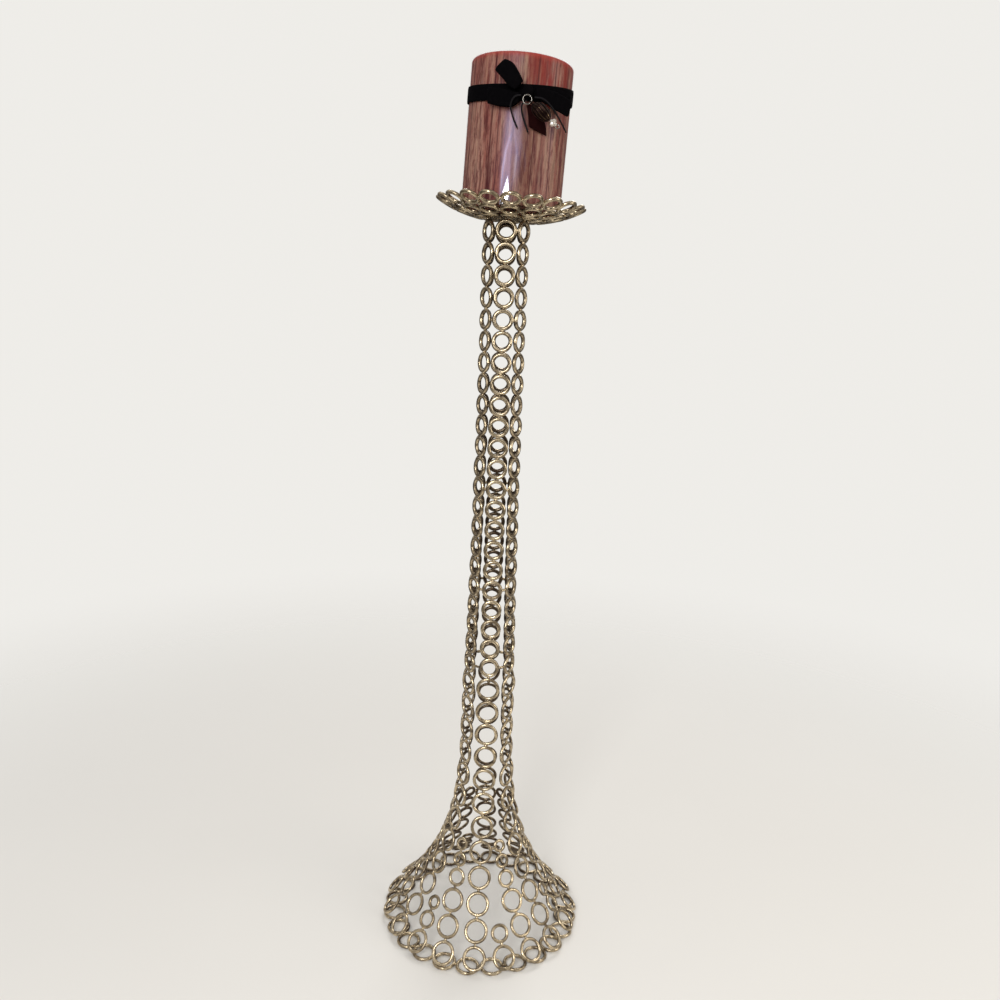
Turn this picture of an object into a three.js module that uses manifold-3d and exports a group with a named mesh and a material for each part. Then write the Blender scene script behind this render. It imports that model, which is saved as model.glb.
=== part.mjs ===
// Torchere candle stand: a floor stand welded up from wire rings, with a wrapped pillar candle on top.
// Six stacks of small rings make a hexagonal column. Below it six legs of larger rings flare out like a
// trumpet onto a row of rings that lie flat on the floor, and shorter stacks fill the space between them.
// On top three rows of rings make a shallow dish. The candle wears a velvet ribbon with a bow and a charm.
// Millimetres, +Z up, the front towards -Y, the origin on the floor below the column's axis.
import * as THREE from 'three';
import { mergeVertices } from 'three/addons/utils/BufferGeometryUtils.js';
import Module from 'manifold-3d';

const wasm = await Module();
wasm.setup();

// Shared
const THICK_WIRE = 4.2; // the wire of the small rings in the column and the dish
const WIRE = 3.6; // the wire of the larger rings in the flare and on the floor
const RIM = 2.6; // width of the flat that stands for the wire's round outside
const WELD_GAP = 0.6; // half the space between the larger rings of a stack, which weld beads bridge
const CORNER_TOUCHING = 1.06; // how far a ring's corners stand out from the round it stands for
const CORNER_SPACED = 1.035;
const WELD_WIDTH = 4.6; // width of the weld bead between larger rings
const FLAT_SHARE = 0.36; // half the flat that touching rings share, as a share of their reach
const GAP = 0.3; // air left between neighbouring pieces

// Column
const COLUMN_TOP = 788; // height of the top of the six stacks
const COLUMN_PITCH = 22; // height of one small ring in a stack
const COLUMN_RINGS = 22;
const NECK_Z = 290; // height where the flare's curve starts
const TOP_APOTHEM = 20.5; // distance of a stack from the axis at the top
const NECK_APOTHEM = 25.7; // and at the neck
const SPREAD_POWER = 3; // how late the column starts to widen
const TIE_RINGS = [12, 17, 21]; // rings that a weld bead ties to the next stack, counted from the top
const TIE_BEAD = 2.6; // thickness of such a bead
const TIE_ROOT = 0.6; // how deep it starts in the ring, as a share of the wire

// Flare
const FOOT_SPREAD = 94.4; // how much further out than the neck the flare's curve ends on the floor
const FLARE_POWER = 3.55; // how late the flare starts to widen
const LEG_RINGS = 12;
const LEG_FOOT_Z = 14.5; // height of the centre of the lowest upright rings
const LARGE = 26.8; // length of the path that one of the large rings takes up
const STACK_AZIMUTHS = [0, 60, 120, 180, 240, 300]; // degrees from the front, counted to the right
const NECK_AZIMUTHS = [-1, 60, 120, 180, 240, 300]; // the legs as they were bent, a little uneven
const FOOT_AZIMUTHS = [-2, 51, 108, 174, 238, 301];
const TURN_POWER = 1.5; // how late a leg leaves the direction of its column stack
const INFILL_FOOT_SHARE = 0.665; // how far from one leg to the next an infill stack stands on the floor
// The rings between the legs, as the path length each takes up, from the floor up.
const LONG_INFILL = { pitches: [LARGE, LARGE, LARGE, LARGE, 21, 17, 15.5], topShare: 0.505, topZ: 105 };
const SHORT_INFILL = { pitches: [LARGE, LARGE, LARGE, 21, 17.5, 15.7], topShare: 0.48, topZ: 113 };
const FOOT_FILLER = { pitches: [LARGE, 21, 17], footShare: 0.333, topShare: 0.3, topZ: 49 };
const FILLER_RINGS = [2, 3, 3, 3, 3, 3]; // how many of them each gap has, from the one right of the front
const LONG_GAPS = [2, 3, 4]; // gaps, counted the same way, that take the long infill

// Foot row
const FOOT_RINGS = 24;
const FOOT_RADIUS = 100.5; // distance of the flat rings' centres from the axis
const FOOT_TURN = -6; // azimuth of the first flat ring, degrees

// Dish: each row's number of rings and how far they lean up, in degrees, from the middle outwards
const DISH_Z = COLUMN_TOP + GAP + THICK_WIRE / 2; // height of the wire's centre in the flat rows
const DISH_CENTRE = { rings: 3, tilt: 0, radius: 8.5 };
const DISH_INNER = { rings: 8, tilt: 0, radius: 26.6 };
const DISH_MIDDLE = { rings: 14, tilt: 16 };
const DISH_OUTER = { rings: 20, tilt: 27 };
const TOP_LEAN = 2.8; // degrees that the dish was welded out of level, its right side down
const TOP_SHIFT = 3; // and how far it sits to the right of the column's axis
const TOP_LIFT = 0.2; // what its middle gains in height, so that its right side clears the column

// Candle
const CANDLE_BASE = DISH_Z + 6.2; // the candle's underside, on the middle row of the dish
const CANDLE_TOP = 935.5;
const CANDLE_RADIUS = 51; // outside of the clear wrap
const WRAP_THICK = 0.5;
const CANDLE_SIDES = 32;
const WICK_RADIUS = 1.2;
const WICK_HOLE = 6; // depth of the wick's hole in the wax
const WICK_STANDS = 9; // how far the wick stands above the wax
const WRAP_LIP = 13; // how far the wrap curls in over the top and the underside

// Ribbon, bow and charm
const RIBBON_WIDTH = 15;
const RIBBON_THICK = 0.9;
const BAND_Z = 905; // middle of the ribbon at the candle's sides
const BAND_DROOP = 7; // how much lower it hangs in front
const BAND_RISE = 2.6; // how much higher it is on the right, against the candle's lean
const BAND_RADIUS = CANDLE_RADIUS + GAP + RIBBON_THICK / 2;
const KNOT = new THREE.Vector3(7.2, -58, 897.5);
const KNOT_HALF = [5.4, 5.1, 6]; // half its width, depth and height
const TAIL_SLANT = 0.3; // how far the burgundy end's width slopes down to the right
const CORD_THICK = 1.6;
const CHARM_Y = -66.5; // the plane the charm swings in
const JUMP_RING = new THREE.Vector3(7, CHARM_Y, 889);
const JUMP_RING_RADIUS = 4.1; // to the middle of its wire
const JUMP_WIRE = 1.2;
const CHARM_SLOPE = -35; // degrees the charm points below level, before the candle leans
const EYE_RADIUS = 2.05; // to the middle of the eye's wire
const EYE_WIRE = 1.1;
const BEAD_LENGTH = 20.5;
const BEAD_RADIUS = 6.8;

const X = new THREE.Vector3(1, 0, 0);
const Y = new THREE.Vector3(0, 1, 0);
const Z = new THREE.Vector3(0, 0, 1);
const RAD = Math.PI / 180;

// ---------------------------------------------------------------- helpers

// The horizontal unit vector that points outwards at an azimuth.
function outward(azimuth) {
  return new THREE.Vector3(Math.sin(azimuth * RAD), -Math.cos(azimuth * RAD), 0);
}

// The horizontal unit vector that points to the right-hand neighbour at an azimuth.
function sideways(azimuth) {
  return new THREE.Vector3(Math.cos(azimuth * RAD), Math.sin(azimuth * RAD), 0);
}

function blend(from, to, share) {
  return from + (to - from) * share;
}

function geometryOf(points, triangles) {
  const geometry = new THREE.BufferGeometry().setFromPoints(points);
  geometry.setIndex(triangles);
  return geometry;
}

// Joins loops of points into one closed skin. Each loop has the same number of points and runs
// anticlockwise seen against the direction of travel. A closed skin runs back into its first loop.
function skin(loops, closed) {
  const size = loops[0].length;
  const triangles = [];
  const last = closed ? loops.length : loops.length - 1;
  for (let i = 0; i < last; i++) {
    const here = i * size;
    const next = ((i + 1) % loops.length) * size;
    for (let j = 0; j < size; j++) {
      const k = (j + 1) % size;
      triangles.push(here + j, here + k, next + k);
      triangles.push(here + j, next + k, next + j);
    }
  }
  if (!closed) {
    const end = (loops.length - 1) * size;
    for (let j = 1; j < size - 1; j++) {
      triangles.push(0, j + 1, j);
      triangles.push(end, end + j, end + j + 1);
    }
  }
  return geometryOf(loops.flat(), triangles);
}

function solidOf(geometry) {
  const plain = geometry.clone();
  plain.deleteAttribute('normal');
  plain.deleteAttribute('uv');
  const merged = mergeVertices(plain, 1e-4);
  const mesh = new wasm.Mesh({
    numProp: 3,
    vertProperties: merged.attributes.position.array,
    triVerts: new Uint32Array(merged.index.array),
  });
  return new wasm.Manifold(mesh);
}

function fuse(geometries) {
  let solid = solidOf(geometries[0]);
  for (const geometry of geometries.slice(1)) {
    solid = solid.add(solidOf(geometry));
  }
  const mesh = solid.getMesh();
  const fused = new THREE.BufferGeometry();
  fused.setAttribute('position', new THREE.BufferAttribute(new Float32Array(mesh.vertProperties), 3));
  fused.setIndex(new THREE.BufferAttribute(new Uint32Array(mesh.triVerts), 1));
  return fused;
}

// The proportions of a ring with a weld on either side. Its reach is the distance from its centre to
// the welds, and its corners lie on a circle a little larger than the ring, so that their flats
// average out to it. Touching rings share a broad flat, spaced ones a narrow weld bead.
function touching(reach, wire) {
  return { reach, wire, round: reach * CORNER_TOUCHING, weld: reach * FLAT_SHARE, arcs: 3 };
}

function spaced(pitch) {
  const round = (pitch / 2 - WELD_GAP) * CORNER_SPACED;
  return { reach: pitch / 2, wire: WIRE, round, weld: WELD_WIDTH / 2, arcs: 4 };
}

// The corners of a ring in its own plane, [outwards, to the right]. Both welds lie at an angle from the
// outward direction. The order runs over the outward side, the right weld, and the inward side.
function ringCorners({ reach, round, weld, arcs }, contact) {
  const turn = Math.atan2(weld, reach) / RAD;
  const onRound = (from, to, i) => {
    const angle = blend(from, to, i / arcs) * RAD;
    return [round * Math.cos(angle), round * Math.sin(angle)];
  };
  const atWeld = (side) => [
    reach * Math.cos(contact * RAD) + side * weld * Math.sin(contact * RAD),
    reach * Math.sin(contact * RAD) - side * weld * Math.cos(contact * RAD),
  ];
  const mirrored = ([x, y]) => [x, -y];
  const corners = [mirrored(atWeld(1))];
  for (let i = 1; i < arcs; i++) {
    corners.push(onRound(turn - contact, contact - turn, i));
  }
  corners.push(atWeld(1), atWeld(-1));
  for (let i = 1; i < arcs; i++) {
    corners.push(onRound(contact + turn, 360 - contact - turn, i));
  }
  corners.push(mirrored(atWeld(-1)));
  return corners;
}

// A wire ring about a centre, as one loop of three points per corner: two on its rim and one inside.
// u is its outward direction and v points to its right-hand neighbour. A ring that lies on the floor
// has a flat underside.
function ringLoops(centre, u, v, size, contact = 90, flatBelow = false) {
  const axis = new THREE.Vector3().crossVectors(u, v).normalize();
  const half = flatBelow ? size.wire / 2 : RIM / 2;
  return ringCorners(size, contact).map(([x, y]) => {
    const point = (depth, height) => {
      const share = depth / Math.hypot(x, y);
      const place = centre.clone().addScaledVector(u, x * share).addScaledVector(v, y * share);
      return place.addScaledVector(axis, height);
    };
    const rim = Math.hypot(x, y);
    const inside = size.round - size.wire;
    if (flatBelow) {
      return [point(rim, -half), point(inside, -half), point(rim - half, half)];
    }
    return [point(rim, -half), point(inside, 0), point(rim, half)];
  });
}

// Rings welded one to the next into one solid. Where two meet, their flats share four points and the
// faces between them are left out.
function weldedRings(rings, closed) {
  const joints = closed ? rings.length : rings.length - 1;
  const corners = rings[0].length;
  const last = corners - 1;
  const right = corners / 2 - 1; // the corner before the right weld
  for (let i = 0; i < joints; i++) {
    const here = rings[i];
    const next = rings[(i + 1) % rings.length];
    for (const [own, other] of [[right, 0], [right + 1, last]]) {
      for (const point of [0, 2]) {
        const shared = here[own][point].clone().add(next[other][point]).multiplyScalar(0.5);
        here[own][point] = shared;
        next[other][point] = shared;
      }
    }
  }
  const points = [];
  const triangles = [];
  rings.forEach((loops, i) => {
    const first = points.length;
    points.push(...loops.flat());
    for (let j = 0; j < corners; j++) {
      const here = first + 3 * j;
      const next = first + 3 * ((j + 1) % corners);
      const welded = (j === right && i < joints) || (j === last && (closed || i > 0));
      for (let k = 0; k < 3; k++) {
        if (k === 2 && welded) {
          continue;
        }
        const m = (k + 1) % 3;
        triangles.push(here + k, here + m, next + m);
        triangles.push(here + k, next + m, next + k);
      }
    }
  });
  return geometryOf(points, triangles);
}

// ---------------------------------------------------------------- column and flare

function apothem(z) {
  const share = (COLUMN_TOP - z) / (COLUMN_TOP - NECK_Z);
  return TOP_APOTHEM + (NECK_APOTHEM - TOP_APOTHEM) * share ** SPREAD_POWER;
}

function flareRadius(z) {
  return NECK_APOTHEM + FOOT_SPREAD * (Math.max(NECK_Z - z, 0) / NECK_Z) ** FLARE_POWER;
}

// A weld bead on the right-hand side of a ring that reaches for the same ring of the next stack.
function tieBead(azimuth, z) {
  const distance = apothem(z);
  const half = TIE_BEAD / 2;
  const radius = COLUMN_PITCH / 2;
  const root = radius - THICK_WIRE * TIE_ROOT;
  const between = 2 * (distance * Math.sin(30 * RAD) - radius * Math.cos(30 * RAD));
  const start = outward(azimuth).multiplyScalar(distance).addScaledVector(sideways(azimuth), root);
  const towards = sideways(azimuth + 30);
  const end = outward(azimuth).multiplyScalar(distance).addScaledVector(sideways(azimuth), radius);
  end.addScaledVector(towards, between - 3 * GAP);
  const across = outward(azimuth + 30);
  const loop = (middle) => [[-1, -1], [1, -1], [1, 1], [-1, 1]].map(([i, j]) => {
    return middle.clone().addScaledVector(across, i * half).addScaledVector(Z, z + j * half);
  });
  return skin([loop(end), loop(start)], false);
}

// A curve that a stack follows: height in, point out.
function pathOf(azimuthAt, radiusAt) {
  return (z) => outward(azimuthAt(z)).multiplyScalar(radiusAt(z)).setZ(z);
}

// An upright ring of a stack: its plane holds the path's own direction and the level across it.
function uprightRing(path, azimuthAt, z, size) {
  const up = path(z + 1).sub(path(z - 1)).normalize();
  const side = sideways(azimuthAt(z));
  side.addScaledVector(up, -side.dot(up)).normalize();
  return ringLoops(path(z), side, up, size);
}

function columnStack(azimuth) {
  const straight = () => azimuth;
  const path = pathOf(straight, apothem);
  const rings = [];
  const ties = [];
  for (let i = 0; i < COLUMN_RINGS; i++) {
    const z = COLUMN_TOP - (COLUMN_RINGS - i - 0.5) * COLUMN_PITCH;
    rings.push(uprightRing(path, straight, z, touching(COLUMN_PITCH / 2, THICK_WIRE)));
    if (TIE_RINGS.includes(COLUMN_RINGS - 1 - i)) {
      ties.push(tieBead(azimuth, z));
    }
  }
  return fuse([weldedRings(rings, false), ...ties]);
}

// The height on a path that lies a given straight distance above or below a start height.
function stepAlong(path, z, distance) {
  const from = path(z);
  let near = z;
  let far = z + Math.sign(distance) * Math.abs(distance) * 1.2;
  for (let i = 0; i < 40; i++) {
    const middle = (near + far) / 2;
    if (path(middle).distanceTo(from) < Math.abs(distance)) {
      near = middle;
    } else {
      far = middle;
    }
  }
  return (near + far) / 2;
}

// A stack of rings that each take up the given length of the path, from the floor up.
function flareStack(azimuthAt, pitches) {
  const path = pathOf(azimuthAt, flareRadius);
  const rings = [];
  let z = LEG_FOOT_Z;
  pitches.forEach((pitch, i) => {
    if (i > 0) {
      z = stepAlong(path, z, (pitches[i - 1] + pitch) / 2);
    }
    rings.push(uprightRing(path, azimuthAt, z, spaced(pitch)));
  });
  return weldedRings(rings, false);
}

function legAzimuth(leg) {
  const foot = FOOT_AZIMUTHS[leg % 6] + 360 * Math.floor(leg / 6);
  const neck = NECK_AZIMUTHS[leg % 6] + 360 * Math.floor(leg / 6);
  return (z) => blend(neck, foot, ((NECK_Z - Math.min(z, NECK_Z)) / NECK_Z) ** TURN_POWER);
}

// The spacing of a leg's eleven rings, from just under the column to just above the floor row.
function legPitch(leg) {
  const path = pathOf(legAzimuth(leg), flareRadius);
  const columnFoot = COLUMN_TOP - COLUMN_RINGS * COLUMN_PITCH;
  let small = 0.9 * LARGE;
  let big = 1.1 * LARGE;
  for (let i = 0; i < 30; i++) {
    const pitch = (small + big) / 2;
    let z = LEG_FOOT_Z;
    for (let j = 1; j < LEG_RINGS; j++) {
      z = stepAlong(path, z, pitch);
    }
    if (z + pitch / 2 < columnFoot - GAP) {
      small = pitch;
    } else {
      big = pitch;
    }
  }
  return small;
}

function flareLeg(leg) {
  return flareStack(legAzimuth(leg), Array(LEG_RINGS).fill(legPitch(leg)));
}

// A direction that keeps a share of the way from one leg to the next, shifting with height.
function betweenLegs(leg, footShare, topShare, topZ) {
  const left = legAzimuth(leg);
  const right = legAzimuth(leg + 1);
  return (z) => {
    const up = Math.min(Math.max((z - LEG_FOOT_Z) / (topZ - LEG_FOOT_Z), 0), 1);
    return blend(left(z), right(z), blend(footShare, topShare, up));
  };
}

// The stack between two legs.
function infillStack(leg) {
  const { pitches, topShare, topZ } = LONG_GAPS.includes(leg) ? LONG_INFILL : SHORT_INFILL;
  return flareStack(betweenLegs(leg, INFILL_FOOT_SHARE, topShare, topZ), pitches);
}

function footFiller(leg) {
  const { pitches, footShare, topShare, topZ } = FOOT_FILLER;
  return flareStack(betweenLegs(leg, footShare, topShare, topZ), pitches.slice(0, FILLER_RINGS[leg]));
}

// ---------------------------------------------------------------- rows of rings in a circle

// A row of rings welded side by side in a circle. Each ring leans up and outwards by the tilt.
function ringRow(count, radius, z, tilt, wire = THICK_WIRE, flatBelow = false) {
  const half = Math.PI / count;
  const lean = Math.cos(tilt * RAD);
  const stretch = Math.hypot(Math.cos(half), lean * Math.sin(half));
  const reach = (radius * Math.sin(half)) / stretch;
  const contact = Math.atan2(Math.cos(half), -lean * Math.sin(half)) / RAD;
  const rings = [];
  for (let i = 0; i < count; i++) {
    const azimuth = (360 * i) / count;
    const centre = outward(azimuth).multiplyScalar(radius).setZ(z);
    const u = outward(azimuth).multiplyScalar(lean).addScaledVector(Z, Math.sin(tilt * RAD));
    rings.push(ringLoops(centre, u, sideways(azimuth), touching(reach, wire), contact, flatBelow));
  }
  return { geometry: weldedRings(rings, true), reach };
}

// The distance of the ring centres of a leaning row whose inner edge has to meet a given radius.
function rowRadius({ rings, tilt }, innerEdge) {
  const half = Math.PI / rings;
  const lean = Math.cos(tilt * RAD);
  const perRadius = Math.sin(half) / Math.hypot(Math.cos(half), lean * Math.sin(half));
  return innerEdge / (1 - lean * perRadius);
}

function dishRows() {
  const centre = ringRow(DISH_CENTRE.rings, DISH_CENTRE.radius, DISH_Z, DISH_CENTRE.tilt);
  const inner = ringRow(DISH_INNER.rings, DISH_INNER.radius, DISH_Z, DISH_INNER.tilt);
  const rows = [['dish_centre_rings', centre.geometry], ['dish_inner_ring_row', inner.geometry]];
  let edge = DISH_INNER.radius + inner.reach;
  let z = DISH_Z;
  for (const [name, row] of [['dish_middle_ring_row', DISH_MIDDLE], ['dish_outer_ring_row', DISH_OUTER]]) {
    const radius = rowRadius(row, edge + GAP);
    const tall = radius - edge - GAP; // half the row's width seen from above
    const rise = tall * Math.tan(row.tilt * RAD);
    const made = ringRow(row.rings, radius, z + rise, row.tilt);
    rows.push([name, made.geometry]);
    edge = radius + tall;
    z += 2 * rise;
  }
  return rows;
}

function footRow() {
  return ringRow(FOOT_RINGS, FOOT_RADIUS, WIRE / 2, 0, WIRE, true).geometry.rotateZ(FOOT_TURN * RAD);
}

// ---------------------------------------------------------------- candle

function turned(profile) {
  const geometry = new THREE.LatheGeometry(profile.map(([r, z]) => new THREE.Vector2(r, z)), CANDLE_SIDES);
  return geometry.rotateX(Math.PI / 2);
}

function candleWax() {
  const radius = CANDLE_RADIUS - WRAP_THICK - GAP;
  const base = CANDLE_BASE + WRAP_THICK + GAP;
  const top = CANDLE_TOP - WRAP_THICK - GAP;
  const hole = WICK_RADIUS + GAP;
  return turned([
    [0, base],
    [radius - 1, base],
    [radius, base + 1],
    [radius, top - 3],
    [radius - 3, top],
    [hole, top],
    [hole, top - WICK_HOLE],
    [0, top - WICK_HOLE],
  ]);
}

function candleWick() {
  const top = CANDLE_TOP - WRAP_THICK - GAP;
  const length = WICK_HOLE - GAP + WICK_STANDS;
  const wick = new THREE.CylinderGeometry(WICK_RADIUS, WICK_RADIUS, length, 8);
  return wick.rotateX(Math.PI / 2).translate(0, 0, top - WICK_HOLE + GAP + length / 2);
}

// The clear film: a sleeve that curls in over both ends and leaves them open in the middle.
function candleWrap() {
  const inside = CANDLE_RADIUS - WRAP_THICK;
  const lip = CANDLE_RADIUS - WRAP_LIP;
  const under = CANDLE_BASE + WRAP_THICK;
  const over = CANDLE_TOP - WRAP_THICK;
  return turned([
    [lip, CANDLE_BASE],
    [CANDLE_RADIUS - 1, CANDLE_BASE],
    [CANDLE_RADIUS, CANDLE_BASE + 1],
    [CANDLE_RADIUS, CANDLE_TOP - 3],
    [CANDLE_RADIUS - 3, CANDLE_TOP],
    [lip, CANDLE_TOP],
    [lip, over],
    [inside - 2.8, over],
    [inside, over - 2.8],
    [inside, under + 0.8],
    [inside - 0.8, under],
    [lip, under],
    [lip, CANDLE_BASE],
  ]);
}

// ---------------------------------------------------------------- ribbon, cords and charm

// A strip of ribbon. Each station has a middle, the direction of its width and its outer face.
function strip(stations, closed) {
  const loops = stations.map(({ middle, across, face, width = RIBBON_WIDTH }) => {
    const corner = (i, j) => {
      const point = middle.clone().addScaledVector(across, (i * width) / 2);
      return point.addScaledVector(face, (j * RIBBON_THICK) / 2);
    };
    return [corner(-1, -1), corner(1, -1), corner(1, 1), corner(-1, 1)];
  });
  return skin(loops, closed);
}

// A point at a distance from the candle's axis, straight out from the place (x, z) of its front.
function beforeCandle(x, z, distance) {
  return new THREE.Vector3(x, -Math.sqrt(distance ** 2 - x ** 2), z);
}

function ribbonBand() {
  const stations = [];
  for (let i = 0; i < CANDLE_SIDES; i++) {
    const azimuth = (360 * i) / CANDLE_SIDES;
    const face = outward(azimuth);
    const z = BAND_Z - BAND_DROOP * Math.cos(azimuth * RAD) + BAND_RISE * Math.sin(azimuth * RAD);
    stations.push({ middle: face.clone().multiplyScalar(BAND_RADIUS).setZ(z), across: Z, face });
  }
  return strip(stations, true);
}

// A loop of the bow: out from the knot, round a fold and back under itself. The points are
// [along, depth, width, lift]: along the loop, away from the candle, and up across the loop.
function bowLoop(root, along, across, points) {
  const face = new THREE.Vector3().crossVectors(along, across).normalize();
  const middles = points.map(([a, d, , lift]) => {
    return root.clone().addScaledVector(along, a).addScaledVector(face, d).addScaledVector(across, lift);
  });
  const stations = middles.map((middle, i) => {
    const before = middles[Math.max(i - 1, 0)];
    const after = middles[Math.min(i + 1, middles.length - 1)];
    const travel = after.clone().sub(before).normalize();
    const outside = new THREE.Vector3().crossVectors(travel, across).normalize();
    return { middle, across, face: outside, width: points[i][2] };
  });
  return strip(stations, false);
}

// The loop that stands up to the left of the knot.
function bowLoopUpper() {
  const along = new THREE.Vector3(-0.77, 0, 0.64).normalize();
  const across = new THREE.Vector3(-0.64, 0, -0.77).normalize();
  return bowLoop(new THREE.Vector3(3, -55.5, 899), along, across, [
    [6, 4.2, 11, 0.6],
    [13, 6.6, 15, 0.6],
    [22, 6.2, 16, -0.8],
    [28, 4.6, 14.5, -0.4],
    [31, 2.4, 13, 0],
    [29, 0.4, 13.5, -0.4],
    [21, -0.4, 15.5, -1.4],
    [12, 0.2, 14, -0.4],
    [6, 1.6, 10, 0],
  ]);
}

// The loop that lies round the candle to the right, its front half hanging lower than the back half.
function bowLoopRight() {
  const along = new THREE.Vector3(0.86, 0.5, -0.03).normalize();
  const across = new THREE.Vector3(0.03, 0, 1).normalize();
  return bowLoop(new THREE.Vector3(11, -59.5, 898.5), along, across, [
    [3, 1.8, 8, -1],
    [10, 3.6, 12, -2],
    [22, 4.2, 15, -4],
    [33, 3.6, 15.5, -6],
    [39, 2.8, 15.5, -7],
    [42, 1, 15, -5],
    [40, -1, 15, -1.5],
    [31, -1.6, 15, 0.5],
    [20, -1.8, 14, 0.5],
    [10, -1.6, 11, 0],
    [3, -0.8, 8, 0],
  ]);
}

// The short loop to the left, partly under the ribbon's lower edge.
function bowLoopLeft() {
  const along = new THREE.Vector3(-0.95, 0.3, -0.02).normalize();
  const across = new THREE.Vector3(0.02, 0, -1).normalize();
  return bowLoop(new THREE.Vector3(0, -58.5, 895), along, across, [
    [1, 1.4, 8, 3],
    [8, 2.6, 13, 4.6],
    [19, 2.8, 15, 3.2],
    [29, 1.8, 14.5, 1.4],
    [31, 0.4, 14, 1.4],
    [29, -1, 14, 1.4],
    [19, -1.6, 14.5, 3.2],
    [8, -1.7, 13, 4.4],
    [1, -1.4, 8, 3],
  ]);
}

// The burgundy end of the second ribbon, which hangs from the knot behind the bead.
function ribbonTail() {
  const places = [[11, 888, 10], [15, 882, 16], [17.4, 876, 18.6], [18.8, 870, 19.4], [19.5, 865.5, 19]];
  const stations = [];
  for (const [x, z, width] of places) {
    const middle = beforeCandle(x, z, CANDLE_RADIUS + 2);
    const face = new THREE.Vector3(x, middle.y, 0).normalize();
    const across = new THREE.Vector3().crossVectors(Z, face);
    across.addScaledVector(Z, -TAIL_SLANT).normalize();
    stations.push({ middle, across, face, width });
  }
  return strip(stations, false);
}

function bowKnot() {
  const knot = new THREE.SphereGeometry(1, 10, 7);
  return knot.rotateX(Math.PI / 2).scale(...KNOT_HALF).translate(KNOT.x, KNOT.y, KNOT.z);
}

// A length of thin cord through points given as [x, z, distance from the candle's axis].
function cordTail(points) {
  const path = new THREE.CatmullRomCurve3(points.map(([x, z, distance]) => beforeCandle(x, z, distance)));
  const section = new THREE.Shape();
  section.absarc(0, 0, CORD_THICK / 2, 0, 2 * Math.PI, false);
  const steps = Math.round(path.getLength() / (2.6 * CORD_THICK));
  return new THREE.ExtrudeGeometry(section, { steps, curveSegments: 4, extrudePath: path });
}

// A plain wire ring with a round hole: u and v span its plane.
function wireRing(centre, u, v, radius, wire, sides) {
  const axis = new THREE.Vector3().crossVectors(u, v).normalize();
  const loops = [];
  for (let i = 0; i < sides; i++) {
    const angle = (2 * Math.PI * i) / sides;
    const out = u.clone().multiplyScalar(Math.cos(angle)).addScaledVector(v, Math.sin(angle));
    const corners = [[1, 0], [0, -1], [-1, 0], [0, 1]];
    loops.push(corners.map(([r, h]) => {
      const point = centre.clone().addScaledVector(out, radius + (r * wire) / 2);
      return point.addScaledVector(axis, (h * wire) / 2);
    }));
  }
  return skin(loops, true);
}

const charmAlong = new THREE.Vector3(Math.cos(CHARM_SLOPE * RAD), 0, Math.sin(CHARM_SLOPE * RAD));
const charmAcross = new THREE.Vector3().crossVectors(Y, charmAlong);
const EYE_AT = JUMP_RING_RADIUS + 0.5; // the eye's middle, from the middle of the jump ring
const BEAD_AT = EYE_AT + EYE_RADIUS;

function charmRing() {
  return wireRing(JUMP_RING, X, Z.clone().negate(), JUMP_RING_RADIUS, JUMP_WIRE, 14);
}

// The fluted bead, with the wire eye at its top that hangs on the jump ring.
function charmBead() {
  const flutes = 8;
  const profile = [
    [-0.4, 0.22],
    [0, 0.42],
    [0.08, 0.62],
    [0.28, 0.94],
    [0.5, 1],
    [0.72, 0.94],
    [0.92, 0.62],
    [1, 0.4],
  ];
  const loops = profile.map(([share, size], i) => {
    const reach = BEAD_AT + Math.max(share, 0) * BEAD_LENGTH;
    const middle = JUMP_RING.clone().addScaledVector(charmAlong, reach);
    if (i === 0) {
      middle.addScaledVector(charmAlong, -EYE_WIRE / 2);
    }
    const loop = [];
    for (let j = 0; j < 2 * flutes; j++) {
      const angle = (Math.PI * j) / flutes;
      const depth = j % 2 && share > 0 && share < 1 ? 0.84 : 1;
      const radius = BEAD_RADIUS * size * depth;
      const point = middle.clone().addScaledVector(charmAcross, radius * Math.cos(angle));
      loop.push(point.addScaledVector(Y, radius * Math.sin(angle)));
    }
    return loop;
  });
  const eye = wireRing(
    JUMP_RING.clone().addScaledVector(charmAlong, EYE_AT),
    charmAlong,
    Y,
    EYE_RADIUS,
    EYE_WIRE,
    8,
  );
  return fuse([skin(loops, false), eye]);
}

// Five cut crystals in a bunch under the bead.
function charmCrystals() {
  const heart = JUMP_RING.clone().addScaledVector(charmAlong, BEAD_AT + BEAD_LENGTH + 4.3);
  const crystals = [new THREE.IcosahedronGeometry(2.6, 0).translate(heart.x, heart.y, heart.z)];
  for (let i = 0; i < 4; i++) {
    const angle = Math.PI * (0.25 + i / 2);
    const at = heart.clone().addScaledVector(charmAcross, 2.2 * Math.cos(angle));
    at.addScaledVector(Y, 2.2 * Math.sin(angle));
    crystals.push(new THREE.IcosahedronGeometry(2.1, 0).translate(at.x, at.y, at.z));
  }
  return fuse(crystals);
}

function charmEndRing() {
  const centre = JUMP_RING.clone().addScaledVector(charmAlong, BEAD_AT + BEAD_LENGTH + 9.4);
  return wireRing(centre, charmAlong, charmAcross, 1.8, 0.9, 10);
}

// ---------------------------------------------------------------- materials and assembly

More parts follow.
